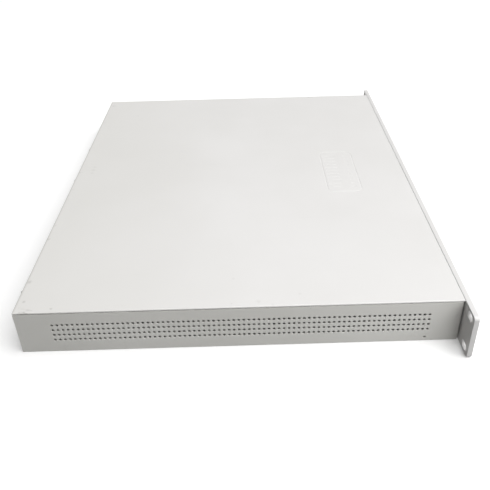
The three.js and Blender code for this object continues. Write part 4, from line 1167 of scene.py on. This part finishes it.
def power_rocker():
    """Two pads that meet in a shallow valley, with the generic on and off signs."""
    pivot = PIVOTS["rocker"]
    half_width = ROCKER.width / 2

    def at(radius, degrees):
        return Vector(polar(pivot.y, pivot.z, radius, math.radians(degrees - ROCKER.tilt)))

    def across(outline, reach, edge):
        return sheet("x", pivot.x - reach, pivot.x + reach, outline, (), edge)

    rim, steps = ROCKER.half_angle, 8
    outline = []
    for start, end in ((rim, 180 - rim), (rim - 180, -rim)):
        outline += [at(ROCKER.radius, start + (end - start) * i / steps) for i in range(steps + 1)]
    valley = at(ROCKER.valley, 0)
    pads = across([tuple(point) for point in (*outline, valley)], half_width, 0.35)
    pin = across(ring(pivot.y, pivot.z, ROCKER.pin, 24), half_width + 1, 0.15)
    piece("rocker_pad", [pads, pin], BLACK_PLASTIC, "rocker", "power_rocker")
    signs = [rocker_sign(pivot, valley, at(ROCKER.radius, sign * rim), sign) for sign in (1, -1)]
    piece("rocker_signs", signs, MARK_WHITE, body="rocker")


def earth_stud():
    """A threaded stud, with a washer and a chamfered nut outside the panel and a nut inside it."""
    low, high, middle = extent_of("earth_stud")
    ridges = thread(high.y - 0.3, low.y + 0.4, 2.0, 0.5)
    flats = hexagon(3.46)

    def trimmed(angle):
        return min(flats(angle), 3.55)

    def nut(y0, y1):
        return [(y0, trimmed), (y0 + 0.25, flats), (y1 - 0.25, flats), (y1, trimmed)]

    y = REAR_FACE
    washer = [(y + 0.3, 3.8), (y + 0.35, 3.95), (y + 0.6, 3.95), (y + 0.65, 3.8)]
    rings = [nut(y + 0.65, y + 2.2), washer, nut(y - 3.7, y - 1.5)]
    parts = [turned(*middle.xz, [(low.y, 1.4), *reversed(ridges), (high.y, 1.5)])]
    parts += [turned(*middle.xz, profile, 48) for profile in rings]
    piece("earthing_stud", parts, BRASS, node="earth_stud")


power_inlet()
rocker_bezel()
power_rocker()
earth_stud()

# -- CAD nodes that stay, with softened edges and finer materials
CARRIED = [  # material, radius of the edges, nodes
    (ZINC, 0.15, ["front_bulkhead", "drive_bracket"]),
    (ZINC, 0.2, ["power_supply_case"]),
    (CASE_COAT, 0.2, ["bottom_pan"]),
    (BLACK_PLASTIC, 0.2, ["reset_switch", "memory_socket_1", "memory_socket_2", "battery_holder"]),
    (BOARD_GREEN, 0.1, ["main_board", "memory_module_1", "memory_module_2", "supply_board"]),
    (CHIP_PACKAGE, 0.2, ["processor", "network_controller"]),
    (ALUMINIUM, 0.15, ["processor_heatsink", "controller_heatsink"]),
    (ALUMINIUM, 0.5, ["storage_drive"]),
    (STEEL, 0.3, ["clock_battery"]),
    (TAPE, 0.4, ["supply_transformer"]),
    (SLEEVE, 0, ["power_harness", "drive_cable", "fan_lead_1", "fan_lead_2", "fan_lead_3"]),
]


def carry(obj, finish, edge):
    """A finer material on a CAD node, and rounder edges."""
    for slot in obj.material_slots:
        slot.material = finish
    weld = obj.modifiers.new("weld", "WELD")
    weld.merge_threshold = 0.01 * MM
    if edge:
        bevel = obj.modifiers.new("edges", "BEVEL")
        bevel.width = edge * MM
        bevel.segments = 2
        bevel.limit_method = "ANGLE"
        bevel.angle_limit = SHARP


for finish, edge, nodes in CARRIED:
    for node in nodes:
        carry(frame["nodes"][node], finish, edge)

# -- Floor, backdrop, light and camera
STAGE_REACH = 9  # metres
STAGE_WHITE = (0.93, 0.93, 0.93)


def stage_finish(name, glow):
    """Matt white that glows a little, so that it stays white beside the case."""
    f = Finish(name, roughness=0.9, Specular_IOR_Level=0.0, Emission_Strength=glow)
    tone = f.mix(f.noise(400, 2), STAGE_WHITE, tuple(channel * 0.995 for channel in STAGE_WHITE))
    f.feed(tone, f.shader.inputs["Base Color"])
    f.feed(tone, f.shader.inputs["Emission Color"])
    return f.material


def make_floor():
    solid = bmesh.new()
    bmesh.ops.create_grid(solid, x_segments=8, y_segments=8, size=STAGE_REACH)
    floor = mesh_object("floor", solid, stage_finish("pale_floor", 0.16))
    floor.location.z = -0.2 * MM
    floor.visible_diffuse = False


def make_backdrop():
    """A dome that only the camera sees."""
    solid = bmesh.new()
    bmesh.ops.create_uvsphere(solid, u_segments=64, v_segments=32, radius=STAGE_REACH)
    dome = mesh_object("backdrop", solid, stage_finish("pale_backdrop", 1.05))
    for ray in ("diffuse", "glossy", "transmission", "shadow"):
        setattr(dome, f"visible_{ray}", False)


make_floor()
make_backdrop()
scene = bpy.context.scene
scene.view_settings.view_transform = "Standard"


def make_world():
    world = bpy.data.worlds.new("studio")
    world.use_nodes = True
    background = world.node_tree.nodes["Background"]
    background.inputs["Color"].default_value = (1.0, 0.99, 0.975, 1.0)
    background.inputs["Strength"].default_value = 0.14
    scene.world = world


def lamp(name, kind, energy, direction, distance=1.5, **settings):
    """A lamp that looks at the case from a direction."""
    data = bpy.data.lights.new(name, kind)
    data.energy = energy
    for key, value in settings.items():
        setattr(data, key, value)
    obj = bpy.data.objects.new(name, data)
    direction = Vector(direction).normalized()
    obj.location = direction * distance
    obj.rotation_euler = direction.to_track_quat("Z", "Y").to_euler()
    scene.collection.objects.link(obj)
    return obj


make_world()
lamp("key", "SUN", 2.6, (-0.14, -0.34, 0.93), angle=math.radians(60))
lamp("left_fill", "AREA", 2.55, (-0.74, -0.60, 0.32), 0.9, shape="DISK", size=0.9)
lamp("front_fill", "AREA", 2.0, (0.45, -0.88, 0.22), 1.1, shape="DISK", size=0.7)
side_fill = lamp("side_fill", "AREA", 4.2, (0.84, 0.52, 0.14), 1.2, shape="DISK", size=0.5)
side_fill.visible_glossy = False

CAMERA = Sizes(place=(-581.2, -10.67, 373.99), heading=-90.405, down=30.94, roll=-1.398)
LENS = {"sensor_width": 36, "lens": 43.31, "shift_x": -0.0172, "shift_y": -0.1193}


def make_camera():
    data = bpy.data.cameras.new("camera")
    for key, value in LENS.items():
        setattr(data, key, value)
    camera = bpy.data.objects.new("camera", data)
    camera.matrix_world = (
        Matrix.Translation(Vector(CAMERA.place) * MM)
        @ Matrix.Rotation(math.radians(CAMERA.heading), 4, "Z")
        @ Matrix.Rotation(math.radians(90 - CAMERA.down), 4, "X")
        @ Matrix.Rotation(math.radians(CAMERA.roll), 4, "Z")
    )
    scene.collection.objects.link(camera)
    scene.camera = camera


make_camera()
